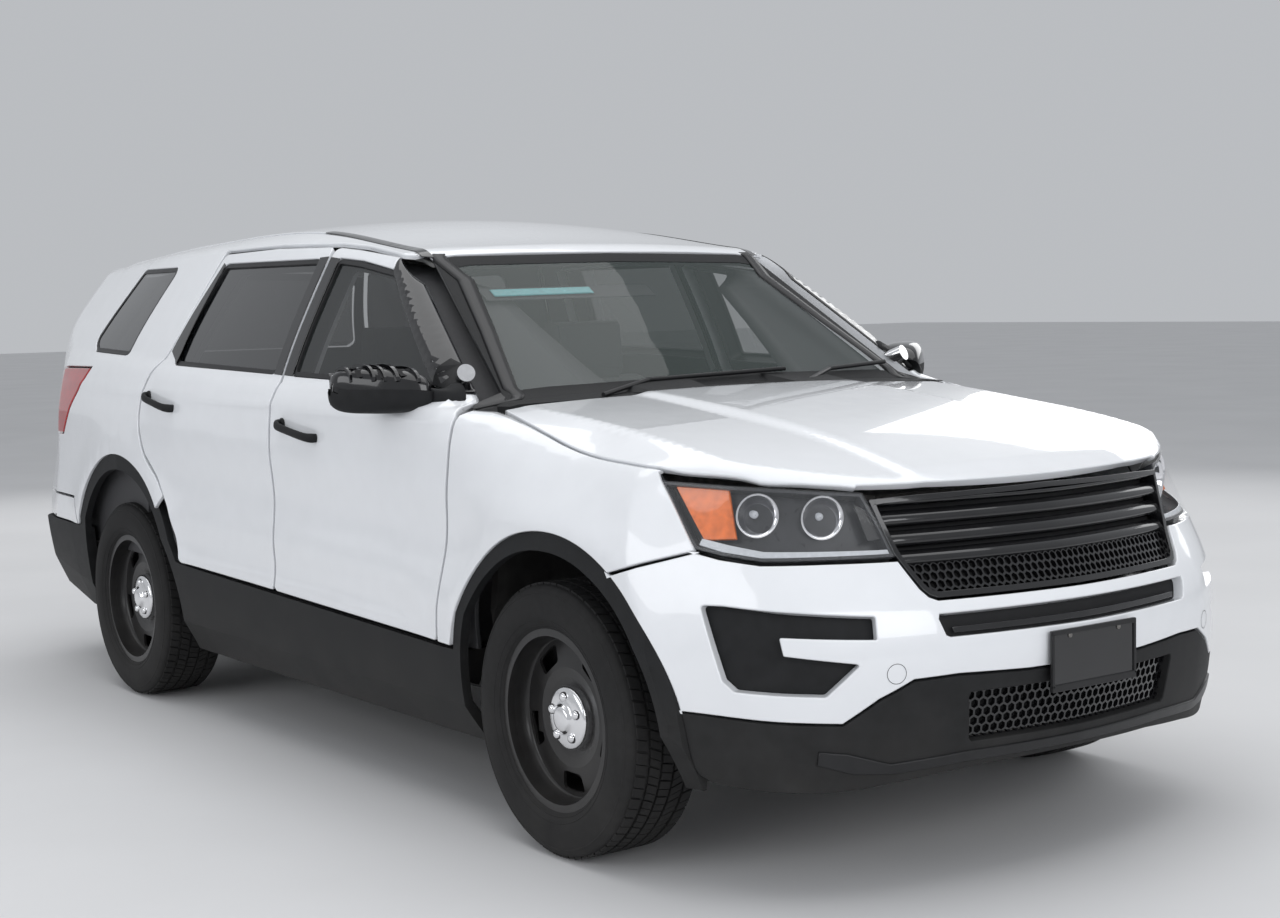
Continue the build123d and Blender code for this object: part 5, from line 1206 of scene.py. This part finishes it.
TRACK_HALF = 0.851
TYRE = [(0.094, 0.3555), (0.104, 0.3525), (0.1125, 0.344), (0.1175, 0.331), (0.1215, 0.312), (0.1225, 0.293),
        (0.1215, 0.276), (0.1165, 0.258), (0.108, 0.244),
        (0.101, 0.2375), (0.0965, 0.2335)]
for tag, s, y in (("front_left", 1, FA), ("front_right", -1, FA), ("rear_left", 1, RA),
                  ("rear_right", -1, RA)):
    wheel = "wheel_" + tag
    c0 = (s * TRACK_HALF, y, AXLE)
    side = rounded(TYRE, 5)
    full = [(-x, r) for x, r in reversed(side)] + side
    prof = [(s * x, r) for x, r in full]
    o = lathe("tyre_" + tag + "_carcass", prof, M["rubber"], wheel, c0, 120)
    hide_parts("tyre_" + tag)
    tread("tyre_" + tag + "_tread", s, c0, M["rubber"], wheel)
    # raised rings on the outer wall
    for r0, w, up in ((0.3345, 0.0035, 0.0012), (0.2655, 0.0022, 0.0012), (0.250, 0.003, 0.0016)):
        xs = np.interp(r0, [p[1] for p in side[::-1]], [p[0] for p in side[::-1]])
        ringp = [(s * (xs - 0.001), r0 + w), (s * (xs + up), r0 + w * 0.4), (s * (xs + up), r0 - w * 0.4),
                 (s * (xs - 0.001), r0 - w)]
        lathe("tyre_%s_ring_%d" % (tag, int(r0 * 1000)), ringp, M["rubber"], wheel, c0, 120)
    # rim: outer lip, step and inner bead
    rim = rounded([(0.0905, 0.2335), (0.0975, 0.2345), (0.1000, 0.2300), (0.0975, 0.2255), (0.0880, 0.2215),
                   (0.0600, 0.2190), (0.0440, 0.2130), (0.0380, 0.2030), (0.0385, 0.1960)], 5)
    lathe("rim_%s_lip" % tag, [(s * x, r) for x, r in rim], M["wheel"], wheel, c0, 120)
    # centre cap with five bumps
    cap = rounded([(0.040, 0.0865), (0.056, 0.0855), (0.0635, 0.0810), (0.0670, 0.073), (0.0695, 0.059),
                   (0.0725, 0.041), (0.0780, 0.0355), (0.0830, 0.031), (0.0858, 0.018), (0.0865, 0.0)], 5)
    lathe("cap_%s_dome" % tag, [(s * x, max(r, 0.0002)) for x, r in cap], M["chrome"], wheel, c0, 72)
    for k in range(5):
        a = math.radians(90 + 72 * k)
        r0 = 0.0571
        verts, faces = [], []
        n1, n2 = 9, 24
        for i in range(n1):
            t = (i / (n1 - 1)) * math.pi / 2
            rad, hgt = 0.0145 * math.cos(t) ** 0.7, 0.0135 * math.sin(t)
            for j in range(n2):
                b = 2 * math.pi * j / n2
                verts.append((c0[0] + s * (0.0665 + hgt), c0[1] + r0 * math.cos(a) + rad * math.cos(b),
                              c0[2] + r0 * math.sin(a) + rad * math.sin(b)))
        for i in range(n1 - 1):
            for j in range(n2):
                q = (i * n2 + j, i * n2 + (j + 1) % n2, (i + 1) * n2 + (j + 1) % n2, (i + 1) * n2 + j)
                faces.append(q if s > 0 else tuple(reversed(q)))
        mesh_object("cap_%s_bump_%d" % (tag, k), verts, faces, M["chrome"], wheel)
    # valve stem
    a = math.radians(200)
    lathe("valve_%s" % tag, [(s * 0.060, 0.0035), (s * 0.078, 0.0035), (s * 0.080, 0.0005)], M["rubber"],
          wheel,
          (c0[0], c0[1] + 0.212 * math.cos(a), c0[2] + 0.212 * math.sin(a)), 12)


# Inner sides of the doors and lids, and the door jambs
inner_hem = [(0.004, 0, 0), (0.0015, 0.001, 0.6), (0, 0.003, 1), (0, 0.012, 1)]
panel("front_door_inner", SIDE, inset(fd, 0.014), M["trimgrey"], trim_body("front_door"),
      holes=[inset(fw, -0.004)], offset=-0.060, gap=0.05, hem=inner_hem)
panel("rear_door_inner", SIDE, inset(rd, 0.014), M["trimgrey"], trim_body("rear_door"),
      holes=[inset(rw, -0.004)], offset=-0.060, gap=0.05, hem=inner_hem)


def rim_band(name, chart, outline, depth, mat, body):
    """The folded edge of a door or lid, from its skin to its inner side."""
    q = np.asarray(outline, float)
    if area(q) < 0:
        q = q[::-1]
    q = densify(q, 0.03)
    p = chart.place(q)
    n = normals(p)
    made = {}
    verts = np.vstack([p - n * 0.004, p - n * depth])
    m = len(q)
    faces = [(i, (i + 1) % m, m + (i + 1) % m, m + i) for i in range(m)]
    bodies = {"left": body, "right": body} if isinstance(body, str) else body
    made["left"] = mesh_object(name + "_left", verts, faces, mat, bodies["left"])
    v2, f2, _ = flip(verts, faces, None)
    made["right"] = mesh_object(name + "_right", v2, f2, mat, bodies["right"])
    return made


rim_band("front_door_edge", SIDE, inset(fd, 0.0035), 0.062, M["paint"], trim_body("front_door"))
rim_band("rear_door_edge", SIDE, inset(rd, 0.0035), 0.062, M["paint"], trim_body("rear_door"))
rim_band("front_window_edge", SIDE, inset(fw, -0.004), 0.062, M["satin"], trim_body("front_door"))
rim_band("rear_window_edge", SIDE, inset(rw, -0.004), 0.062, M["satin"], trim_body("rear_door"))
jamb_line = [(-1.130, 0.480), (0.90, 0.500), (1.00, 0.85), (1.16, 0.98), (1.17, 1.20), (0.93, 1.665),
             (0.02, 1.668), (-0.40, 1.625), (-0.56, 1.540), (-1.05, 1.225), (-1.140, 1.160)]
panel("door_jamb", SIDE, jamb_line, M["trimgrey"], "body", holes=[inset(fd, 0.030), inset(rd, 0.030)],
      offset=-0.066, gap=0.05, hem=inner_hem)
rim_band("front_jamb_edge", SIDE, inset(fd, 0.031), 0.10, M["inner"], "body")
rim_band("rear_jamb_edge", SIDE, inset(rd, 0.031), 0.10, M["inner"], "body")
panel("hood_inner", PLAN, inset(fillet(hood_outline, 0.0), 0.022), M["inner"], "hood_lid", sides="across",
      offset=-0.020, gap=0.06, hem=inner_hem)
panel("roof_inner", PLAN, inset(fillet(roof_line, 0.0), 0.010), M["liner"], "body", sides="across",
      offset=-0.030, gap=0.08, hem=inner_hem)
panel("tailgate_inner", REAR, inset(fillet(both_ways(gate_half), 0.012), 0.014), M["trimgrey"], "rear_gate",
      sides="across",
      holes=[fillet(both_ways(gate_window), 0.03)], offset=-0.055, gap=0.06, hem=inner_hem)
panel("quarter_inner", SIDE, [(1.19, 0.52), (2.05, 0.52), (2.20, 0.75), (2.20, 1.2), (2.02, 1.62),
                              (0.95, 1.66), (1.17, 1.20)], M["trimgrey"], "body",
      holes=[inset(qw, -0.008)], offset=-0.070, gap=0.06, hem=inner_hem)


# Mirrors
def loft(rows, power, count=40):
    """A closed form through rounded sections: (x, y, half depth, z, half height)."""
    r = np.array(rows, float)
    t = np.linspace(0, len(r) - 1, (len(r) - 1) * 5 + 1)
    dense = spread(np.arange(len(r)), r, t)
    verts, faces = [], []
    for x, y, hd, z, hh in dense:
        for k in range(count):
            a = 2 * math.pi * k / count
            ca, sa = math.cos(a), math.sin(a)
            cy = math.copysign(abs(ca) ** (2 / power), ca)
            cz = math.copysign(abs(sa) ** (2 / power), sa)
            verts.append((x, y + hd * cy, z + hh * cz))
    n = len(dense)
    faces = row_faces(n, count)
    for i, order in ((0, 1), (n - 1, -1)):
        faces.append(tuple(i * count + k for k in range(count))[::order])
    return verts, faces


def both_bodies(name, verts, faces, mat, stem, smooth=True):
    o1 = mesh_object(name + "_left", verts, faces, mat, stem + "_l", smooth=smooth)
    v2, f2, _ = flip(verts, faces, None)
    o2 = mesh_object(name + "_right", v2, f2, mat, stem + "_r", smooth=smooth)
    return {"left": o1, "right": o2}


HOUSING = [(1.1440, -0.716, 0.008, 1.213, 0.020), (1.1360, -0.722, 0.030, 1.212, 0.050),
           (1.110, -0.748, 0.056, 1.211, 0.066),
           (1.050, -0.785, 0.086, 1.211, 0.071), (0.990, -0.815, 0.104, 1.209, 0.069),
           (0.950, -0.842, 0.100, 1.205, 0.060), (0.928, -0.862, 0.072, 1.200, 0.044),
           (0.920, -0.870, 0.040, 1.196, 0.026)]
verts, faces = loft(HOUSING, 2.7)
top = lambda f: np.mean([verts[i][2] for i in f]) > 1.206
low_faces = [f for f in faces if not top(f)]
cap_faces = [f for f in faces if top(f)]
mirrors = both_bodies("mirror_lower", verts, low_faces, M["plastic"], "front_door")
mesh_object("mirror_cap_left", verts, cap_faces, M["gloss"], "front_door_l")
# The right-hand one has lost its cap: its frame shows, set in, with ribs and openings
c_mid = np.array([1.03, -0.80, 1.205])
small_v = [tuple(c_mid + (np.array(v) - c_mid) * np.array([0.965, 0.93, 0.86])) for v in verts]
v2, f2, _ = flip(small_v, cap_faces, None)
mesh_object("mirror_frame_right", v2, f2, M["gloss"], "front_door_r")
ribs_v, ribs_f = [], []
for x0, x1, lo_, hi_ in ((1.118, 1.110, 0.86, 0.99), (1.075, 1.066, 0.86, 1.0), (1.025, 1.014, 0.86, 1.0),
                         (0.975, 0.966, 0.86, 0.99), (1.050, 1.042, 0.86, 0.97)):
    for xa, xb in ((x0, x1),):
        sec = spread(np.array([r[0] for r in HOUSING[::-1]]), np.array([r[1:] for r in HOUSING[::-1]]),
                     np.array([(xa + xb) / 2]))[0]
        y, hd, z, hh = sec
        base = len(ribs_v)
        n = 17
        for k in range(n):
            a = math.radians(14 + (166 - 14) * k / (n - 1))
            ca, sa = math.cos(a), math.sin(a)
            cy, cz = math.copysign(abs(ca) ** 0.74, ca), math.copysign(abs(sa) ** 0.74, sa)
            for f_ in (lo_, hi_):
                for xx in (xa, xb):
                    ribs_v.append((-xx, y + hd * cy * f_, z + hh * cz * f_))
        for k in range(n - 1):
            q = base + 4 * k
            for a_, b_ in ((0, 1), (1, 3), (3, 2), (2, 0)):
                ribs_f.append((q + a_, q + b_, q + 4 + b_, q + 4 + a_))
mesh_object("mirror_ribs_right", ribs_v, ribs_f, M["gloss"], "front_door_r", smooth=False)
# Openings in the bare frame: dark quads set in
# Each opening is a dark quad in the gap_shadow finish: painted shade in the hole
for k, (x, a, w, h) in enumerate(((1.094, 96, 0.016, 0.020), (1.046, 92, 0.014, 0.022),
                                  (1.000, 100, 0.014, 0.022), (1.094, 45, 0.014, 0.014),
                                  (1.044, 40, 0.016, 0.014), (0.998, 48, 0.014, 0.014))):
    sec = spread(np.array([r[0] for r in HOUSING[::-1]]), np.array([r[1:] for r in HOUSING[::-1]]),
                 np.array([x]))[0]
    y, hd, z, hh = sec
    pts = []
    for dx, da in ((-w, -16), (w, -16), (w, 16), (-w, 16)):
        aa = math.radians(180 - a + da)
        ca, sa = math.cos(aa), math.sin(aa)
        cy, cz = math.copysign(abs(ca) ** 0.74, ca), math.copysign(abs(sa) ** 0.74, sa)
        pts.append((-(x + dx), y + hd * cy * 0.945, z + hh * cz * 0.885))
    mesh_object("mirror_opening_shade_%d" % k, pts, [(0, 1, 2, 3)], M["gap"], "front_door_r", smooth=False)
ARM = [(0.940, -0.862, 0.060, 1.192, 0.026), (0.925, -0.905, 0.062, 1.186, 0.025),
       (0.905, -0.955, 0.055, 1.182, 0.028), (0.880, -0.975, 0.052, 1.186, 0.040)]
verts, faces = loft(ARM, 2.6)
both_bodies("mirror_arm", verts, faces, M["plastic"], "front_door")
panel("mirror_sail", SIDE, [(-0.995, 1.196), (-0.880, 1.216), (-0.868, 1.290), (-0.905, 1.272)], M["plastic"],
      trim_body("front_door"), offset=0.006, gap=0.03,
      hem=[(0.004, 0, 0), (0.0015, 0.002, 0.6), (0, 0.008, 1)])
glass_v = [(1.130, -0.690, 1.165), (0.945, -0.735, 1.160), (0.945, -0.735, 1.252), (1.130, -0.690, 1.256)]
both_bodies("mirror_glass", glass_v, [(0, 1, 2, 3)], M["chrome"], "front_door", smooth=False)


# Door handles
def tube(points, radii, count=20, squash=1.0):
    p = np.array(points, float)
    tq = np.linspace(0, len(p) - 1, (len(p) - 1) * 5 + 1)
    c_ = spread(np.arange(len(p)), p, tq)
    rad = np.interp(tq, np.arange(len(p)), radii)
    tang = np.gradient(c_, axis=0)
    tang /= np.linalg.norm(tang, axis=1)[:, None] + 1e-12
    up = np.array([0, 0, 1.0])
    verts, faces = [], []
    for q, t, r in zip(c_, tang, rad):
        s1 = np.cross(t, up)
        s1 /= np.linalg.norm(s1) + 1e-12
        s2 = np.cross(s1, t)
        for k in range(count):
            a = 2 * math.pi * k / count
            verts.append(tuple(q + s1 * r * math.cos(a) * squash + s2 * r * math.sin(a)))
    n = len(c_)
    faces = row_faces(n, count)
    faces.append(tuple(range(count))[::-1])
    faces.append(tuple((n - 1) * count + k for k in range(count)))
    return verts, faces


def handle(name, y0, y1, z0, z1, stem):
    ys = np.array([y0 + 0.012, y0 + 0.016, y0 + 0.045, (y0 + y1) / 2, y1 - 0.05, y1 - 0.014, y1 - 0.010])
    zs = np.interp(ys, [y0, y1], [z0, z1])
    base = SIDE.place(np.column_stack([ys, zs]))
    lift = np.array([-0.006, 0.016, 0.030, 0.033, 0.031, 0.018, -0.006])
    pts = base + np.column_stack([lift, np.zeros(7), np.zeros(7)])
    v, f = tube(pts, [0.013, 0.0145, 0.013, 0.0125, 0.013, 0.0165, 0.0165], squash=0.62)
    h = both_bodies(name, v, f, M["plastic"], stem)
    c_ = base[5]
    dv = []
    for i in range(7):
        t = math.pi / 2 * i / 6
        for k in range(28):
            a = 2 * math.pi * k / 28
            dv.append((c_[0] + 0.010 * math.sin(t), c_[1] + 0.021 * math.cos(t) * math.cos(a),
                       c_[2] + 0.021 * math.cos(t) * math.sin(a)))
    both_bodies(name + "_boss", dv, row_faces(7, 28), M["plastic"], stem)
    return h


handle("front_handle", -0.318, -0.052, 1.043, 1.079, "front_door")
rear_handles = handle("rear_handle", 0.770, 1.018, 1.098, 1.138, "rear_door")
for s in ("left", "right"):
    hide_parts("front_door_trim_" + s)
    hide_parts("rear_door_trim_" + s)


# Tail lamps and rear bumper
tail_line = [(1.994, 0.961), (1.892, 1.069), (1.704, 1.2245), (2.020, 1.2205)] + moved(SIDE, REAR,
    [(0.663, 1.190), (0.668, 0.950)])
lamps = panel("tail_lamp_lens", SIDE, fillet(tail_line, 0.01), M["red_lens"], "body", offset=0.002, gap=0.02,
              hem=[(0.006, 0, 0), (0.002, 0.0015, 0.6), (0, 0.005, 1), (0, 0.03, 1)])
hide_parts("tail_lamps")
rear_low = TAIL.uv(REAR.place(np.array([(x, 0.604) for x in np.linspace(0, 0.78, 24)])))
rear_high = TAIL.uv(REAR.place(np.array([(x, 0.7085) for x in np.linspace(0, 0.78, 24)])))
side_low = TAIL.uv(SIDE.place(np.array([(2.20, 0.604), (2.05, 0.604), (1.90, 0.604), (1.812, 0.604)])))
side_high = TAIL.uv(SIDE.place(np.array([(2.20, 0.7085), (2.05, 0.7085), (1.857, 0.7085)])))
half_rear = [tuple(q) for q in np.vstack([rear_low, side_low, side_high[::-1], rear_high[::-1]])]
rear_skin = panel("rear_bumper_skin", TAIL, inset(fillet(both_ways(half_rear), 0.0), G), M["paint"], "body",
                  sides="across", gap=0.03, hem=DEEP)["across"]
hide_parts("rear_bumper")
# Headlamp bowls, and the block beside the grille
def bowl(name, centre, radius, depth, body, bowl_mat, side):
    """A round reflector that opens forwards, with a bright rim and a bulb."""
    verts, faces = [], []
    aim = np.array([-0.42, -1.0, 0.0]) / math.hypot(0.42, 1.0)
    u = np.cross(aim, [0, 0, 1.0])
    u /= np.linalg.norm(u)
    w = np.cross(u, aim)
    rows = [(1.10, 0.000), (1.04, 0.004), (1.0, 0.0), (0.93, -0.18), (0.80, -0.42), (0.62, -0.66),
            (0.42, -0.84), (0.20, -0.97), (0.02, -1.0)]
    n = 40
    for r, d in rows:
        for k in range(n):
            a = 2 * math.pi * k / n
            q = np.array(centre) + (u * math.cos(a) + w * math.sin(a)) * radius * r + aim * depth * d
            verts.append(tuple(q))
    faces = row_faces(len(rows), n)
    if side == "left":
        verts, faces, _ = flip(verts, faces, None)
    mesh_object(name, verts, faces, bowl_mat, body)
    bv = []
    for r, d in ((0.20, -0.95), (0.20, -0.45), (0.13, -0.36), (0.02, -0.34)):
        for k in range(20):
            a = 2 * math.pi * k / 20
            q = np.array(centre) + (u * math.cos(a) + w * math.sin(a)) * radius * r + aim * depth * d
            bv.append(tuple(q))
    bf = row_faces(4, 20)
    if side == "left":
        bv, bf, _ = flip(bv, bf, None)
    mesh_object(name + "_bulb", bv, bf, M["lightpipe"], body)


for tag in ("right", "left"):
    bowl("lamp_bowl_outer_" + tag, (-0.742, -2.128, 0.926), 0.049, 0.050, "body", M["reflector"], tag)
    bowl("lamp_bowl_inner_" + tag, (-0.618, -2.222, 0.918), 0.049, 0.050, "body", M["reflector"], tag)
    s = -1 if tag == "right" else 1
    shroud = nose3([(0.560, -2.275, 0.955), (0.520, -2.315, 0.930), (0.512, -2.340, 0.872),
                    (0.560, -2.330, 0.868)])
    panel("lamp_block_" + tag, NOSE, ccw([(s * a, b) for a, b in shroud]), M["satin"], "body", sides="across",
          offset=-0.020, gap=0.03, hem=patch)


# Number plate in its frame
def box_mesh(name, lo_, hi_, mat, body, edge=0.0):
    (x0, y0, z0), (x1, y1, z1) = lo_, hi_
    v = [(x0, y0, z0), (x1, y0, z0), (x1, y1, z0), (x0, y1, z0), (x0, y0, z1), (x1, y0, z1), (x1, y1, z1),
         (x0, y1, z1)]
    f = [(0, 3, 2, 1), (4, 5, 6, 7), (0, 1, 5, 4), (1, 2, 6, 5), (2, 3, 7, 6), (3, 0, 4, 7)]
    o = mesh_object(name, v, f, mat, body, smooth=False)
    if edge:
        b = o.modifiers.new("edge", "BEVEL")
        b.width, b.segments = edge, 3
        b.limit_method = "ANGLE"
    return o


p0, p1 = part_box("front_plate")
y0 = p0[1]
frame_ = box_mesh("plate_back", (p0[0], y0 + 0.004, p0[2]), (p1[0], y0 + 0.012, p1[2]), M["gloss"], "body",
                  0.003)
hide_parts("front_plate")
for tag, lo_, hi_ in (("top", (p0[0], y0, p1[2] - 0.013), (p1[0], y0 + 0.008, p1[2])),
                      ("bottom", (p0[0], y0, p0[2]), (p1[0], y0 + 0.008, p0[2] + 0.018)),
                      ("side_a", (p0[0], y0, p0[2] + 0.010), (p0[0] + 0.009, y0 + 0.008, p1[2] - 0.006)),
                      ("side_b", (p1[0] - 0.009, y0, p0[2] + 0.010), (p1[0], y0 + 0.008, p1[2] - 0.006))):
    box_mesh("plate_frame_" + tag, lo_, hi_, M["satin"], "body", 0.0025)
for k, s in enumerate((-1, 1)):
    v, f = tube([(s * 0.0889, y0 + 0.006, p1[2] - 0.016), (s * 0.0889, y0 + 0.0015, p1[2] - 0.016),
                 (s * 0.0889, y0 + 0.001, p1[2] - 0.016)], [0.0065, 0.0065, 0.003], 14)
    mesh_object("plate_bolt_%d" % k, v, f, M["steel"], "body")


# Tow cover's round line on the bumper
for tag, s in (("right", -1), ("left", 1)):
    c_ = FRONT.place(np.array([(0.565, 0.560)]))[0]
    ang = np.linspace(0, 2 * math.pi, 48, endpoint=False)
    rows = []
    for r in (0.0245, 0.0232):
        q = FRONT.place(np.column_stack([c_[0] + r * 0.93 * np.cos(ang), c_[2] + r * np.sin(ang)]))
        rows.append(q + normals(q) * 0.0004)
    v = np.vstack(rows)
    f = [(i, (i + 1) % 48, 48 + (i + 1) % 48, 48 + i) for i in range(48)]
    if s < 0:
        v, f, _ = flip(v, f, None)
    mesh_object("tow_line_" + tag, v, f, M["gap"], "body", smooth=False)


# Strip of warning lights under the visors
panel("visor_light_right", FRONT, [(-0.50, 1.505), (-0.14, 1.510), (-0.14, 1.530), (-0.50, 1.526)], M["teal"],
      "body", sides="across", offset=-0.045, gap=0.05, hem=patch)
panel("visor_light_case", FRONT, [(-0.53, 1.498), (0.10, 1.503), (0.10, 1.540), (-0.53, 1.535)],
      M["trimgrey"], "body", sides="across", offset=-0.052, gap=0.05, hem=patch)

# Finishes of the CAD nodes that stay
FINISH = {
    "tyre": "rubber", "rim": "wheel", "windscreen": "glass", "quarter_glass": "dark_glass",
    "front_door_glass": "side_glass", "rear_door_glass": "dark_glass", "tailgate_glass": "dark_glass",
    "grille": "gloss", "front_plate": "satin", "lower_valance": "plastic", "rear_valance": "plastic",
    "sills_and_arches": "plastic", "cowl": "plastic", "wipers": "satin", "front_door_trim": "satin",
    "rear_door_trim": "satin", "headlamps": "bezel", "tail_lamps": "red_lens", "spot_lamp_bases": "chrome",
    "front_seats": "cloth", "rear_seat": "cloth", "dashboard": "trimgrey", "powertrain": "steel",
    "front_suspension": "chassis", "rear_suspension": "chassis", "exhaust": "steel", "fuel_tank": "chassis",
    "knuckle": "chassis", "floor_pan": "chassis", "antenna_fin": "white_plastic",
}
for name, o in nodes.items():
    key = max((k for k in FINISH if name.startswith(k)), key=len, default=None)
    m = M[FINISH[key]] if key else M["inner"]
    o.data.materials.clear()
    o.data.materials.append(m)


# Floor, backdrop and light
def stage_plane():
    me = bpy.data.meshes.new("floor")
    me.from_pydata([(-60, -60, 0), (60, -60, 0), (60, 60, 0), (-60, 60, 0)], [], [(0, 1, 2, 3)])
    o = bpy.data.objects.new("floor", me)
    bpy.context.scene.collection.objects.link(o)
    m = bpy.data.materials.new("floor_grey")
    m.use_nodes = True
    nt = m.node_tree
    p = nt.nodes["Principled BSDF"]
    tc = nt.nodes.new("ShaderNodeTexCoord")
    n1 = nt.nodes.new("ShaderNodeTexNoise")
    n1.inputs["Scale"].default_value = 0.8
    n1.inputs["Detail"].default_value = 8
    nt.links.new(tc.outputs["Object"], n1.inputs["Vector"])
    ramp = nt.nodes.new("ShaderNodeValToRGB")
    ramp.color_ramp.elements[0].color = (0.62, 0.62, 0.625, 1)
    ramp.color_ramp.elements[1].color = (0.72, 0.72, 0.725, 1)
    nt.links.new(n1.outputs["Fac"], ramp.inputs["Fac"])
    nt.links.new(ramp.outputs["Color"], p.inputs["Base Color"])
    p.inputs["Roughness"].default_value = 0.8
    me.materials.append(m)
    return o


stage_plane()
world = bpy.data.worlds.new("studio")
bpy.context.scene.world = world
world.use_nodes = True
wnt = world.node_tree
wbg = wnt.nodes["Background"]
wbg.inputs["Color"].default_value = (0.66, 0.68, 0.71, 1)
wbg.inputs["Strength"].default_value = 0.75


def area_light(name, place, aim, size, power, colour=(1, 1, 1)):
    d = bpy.data.lights.new(name, "AREA")
    d.shape = "RECTANGLE"
    d.size, d.size_y = size
    d.energy = power
    d.color = colour
    o = bpy.data.objects.new(name, d)
    bpy.context.scene.collection.objects.link(o)
    o.location = place
    o.rotation_euler = (Vector(aim) - Vector(place)).to_track_quat("-Z", "Y").to_euler()
    return o


area_light("top_softbox", (0, -0.5, 6.0), (0, 0, 0), (7, 9), 220)
area_light("front_softbox", (-1.5, -9.0, 3.2), (0, -1, 0.8), (6, 3), 170, (0.97, 0.98, 1.0))
area_light("right_softbox", (-8.5, -1.0, 3.4), (0, 0, 0.8), (8, 3), 150, (0.97, 0.98, 1.0))
area_light("left_softbox", (8.5, 1.5, 3.8), (0, 0, 0.8), (8, 3), 110)
area_light("rear_softbox", (1.0, 9.0, 3.6), (0, 1, 0.9), (6, 3), 90).visible_glossy = False
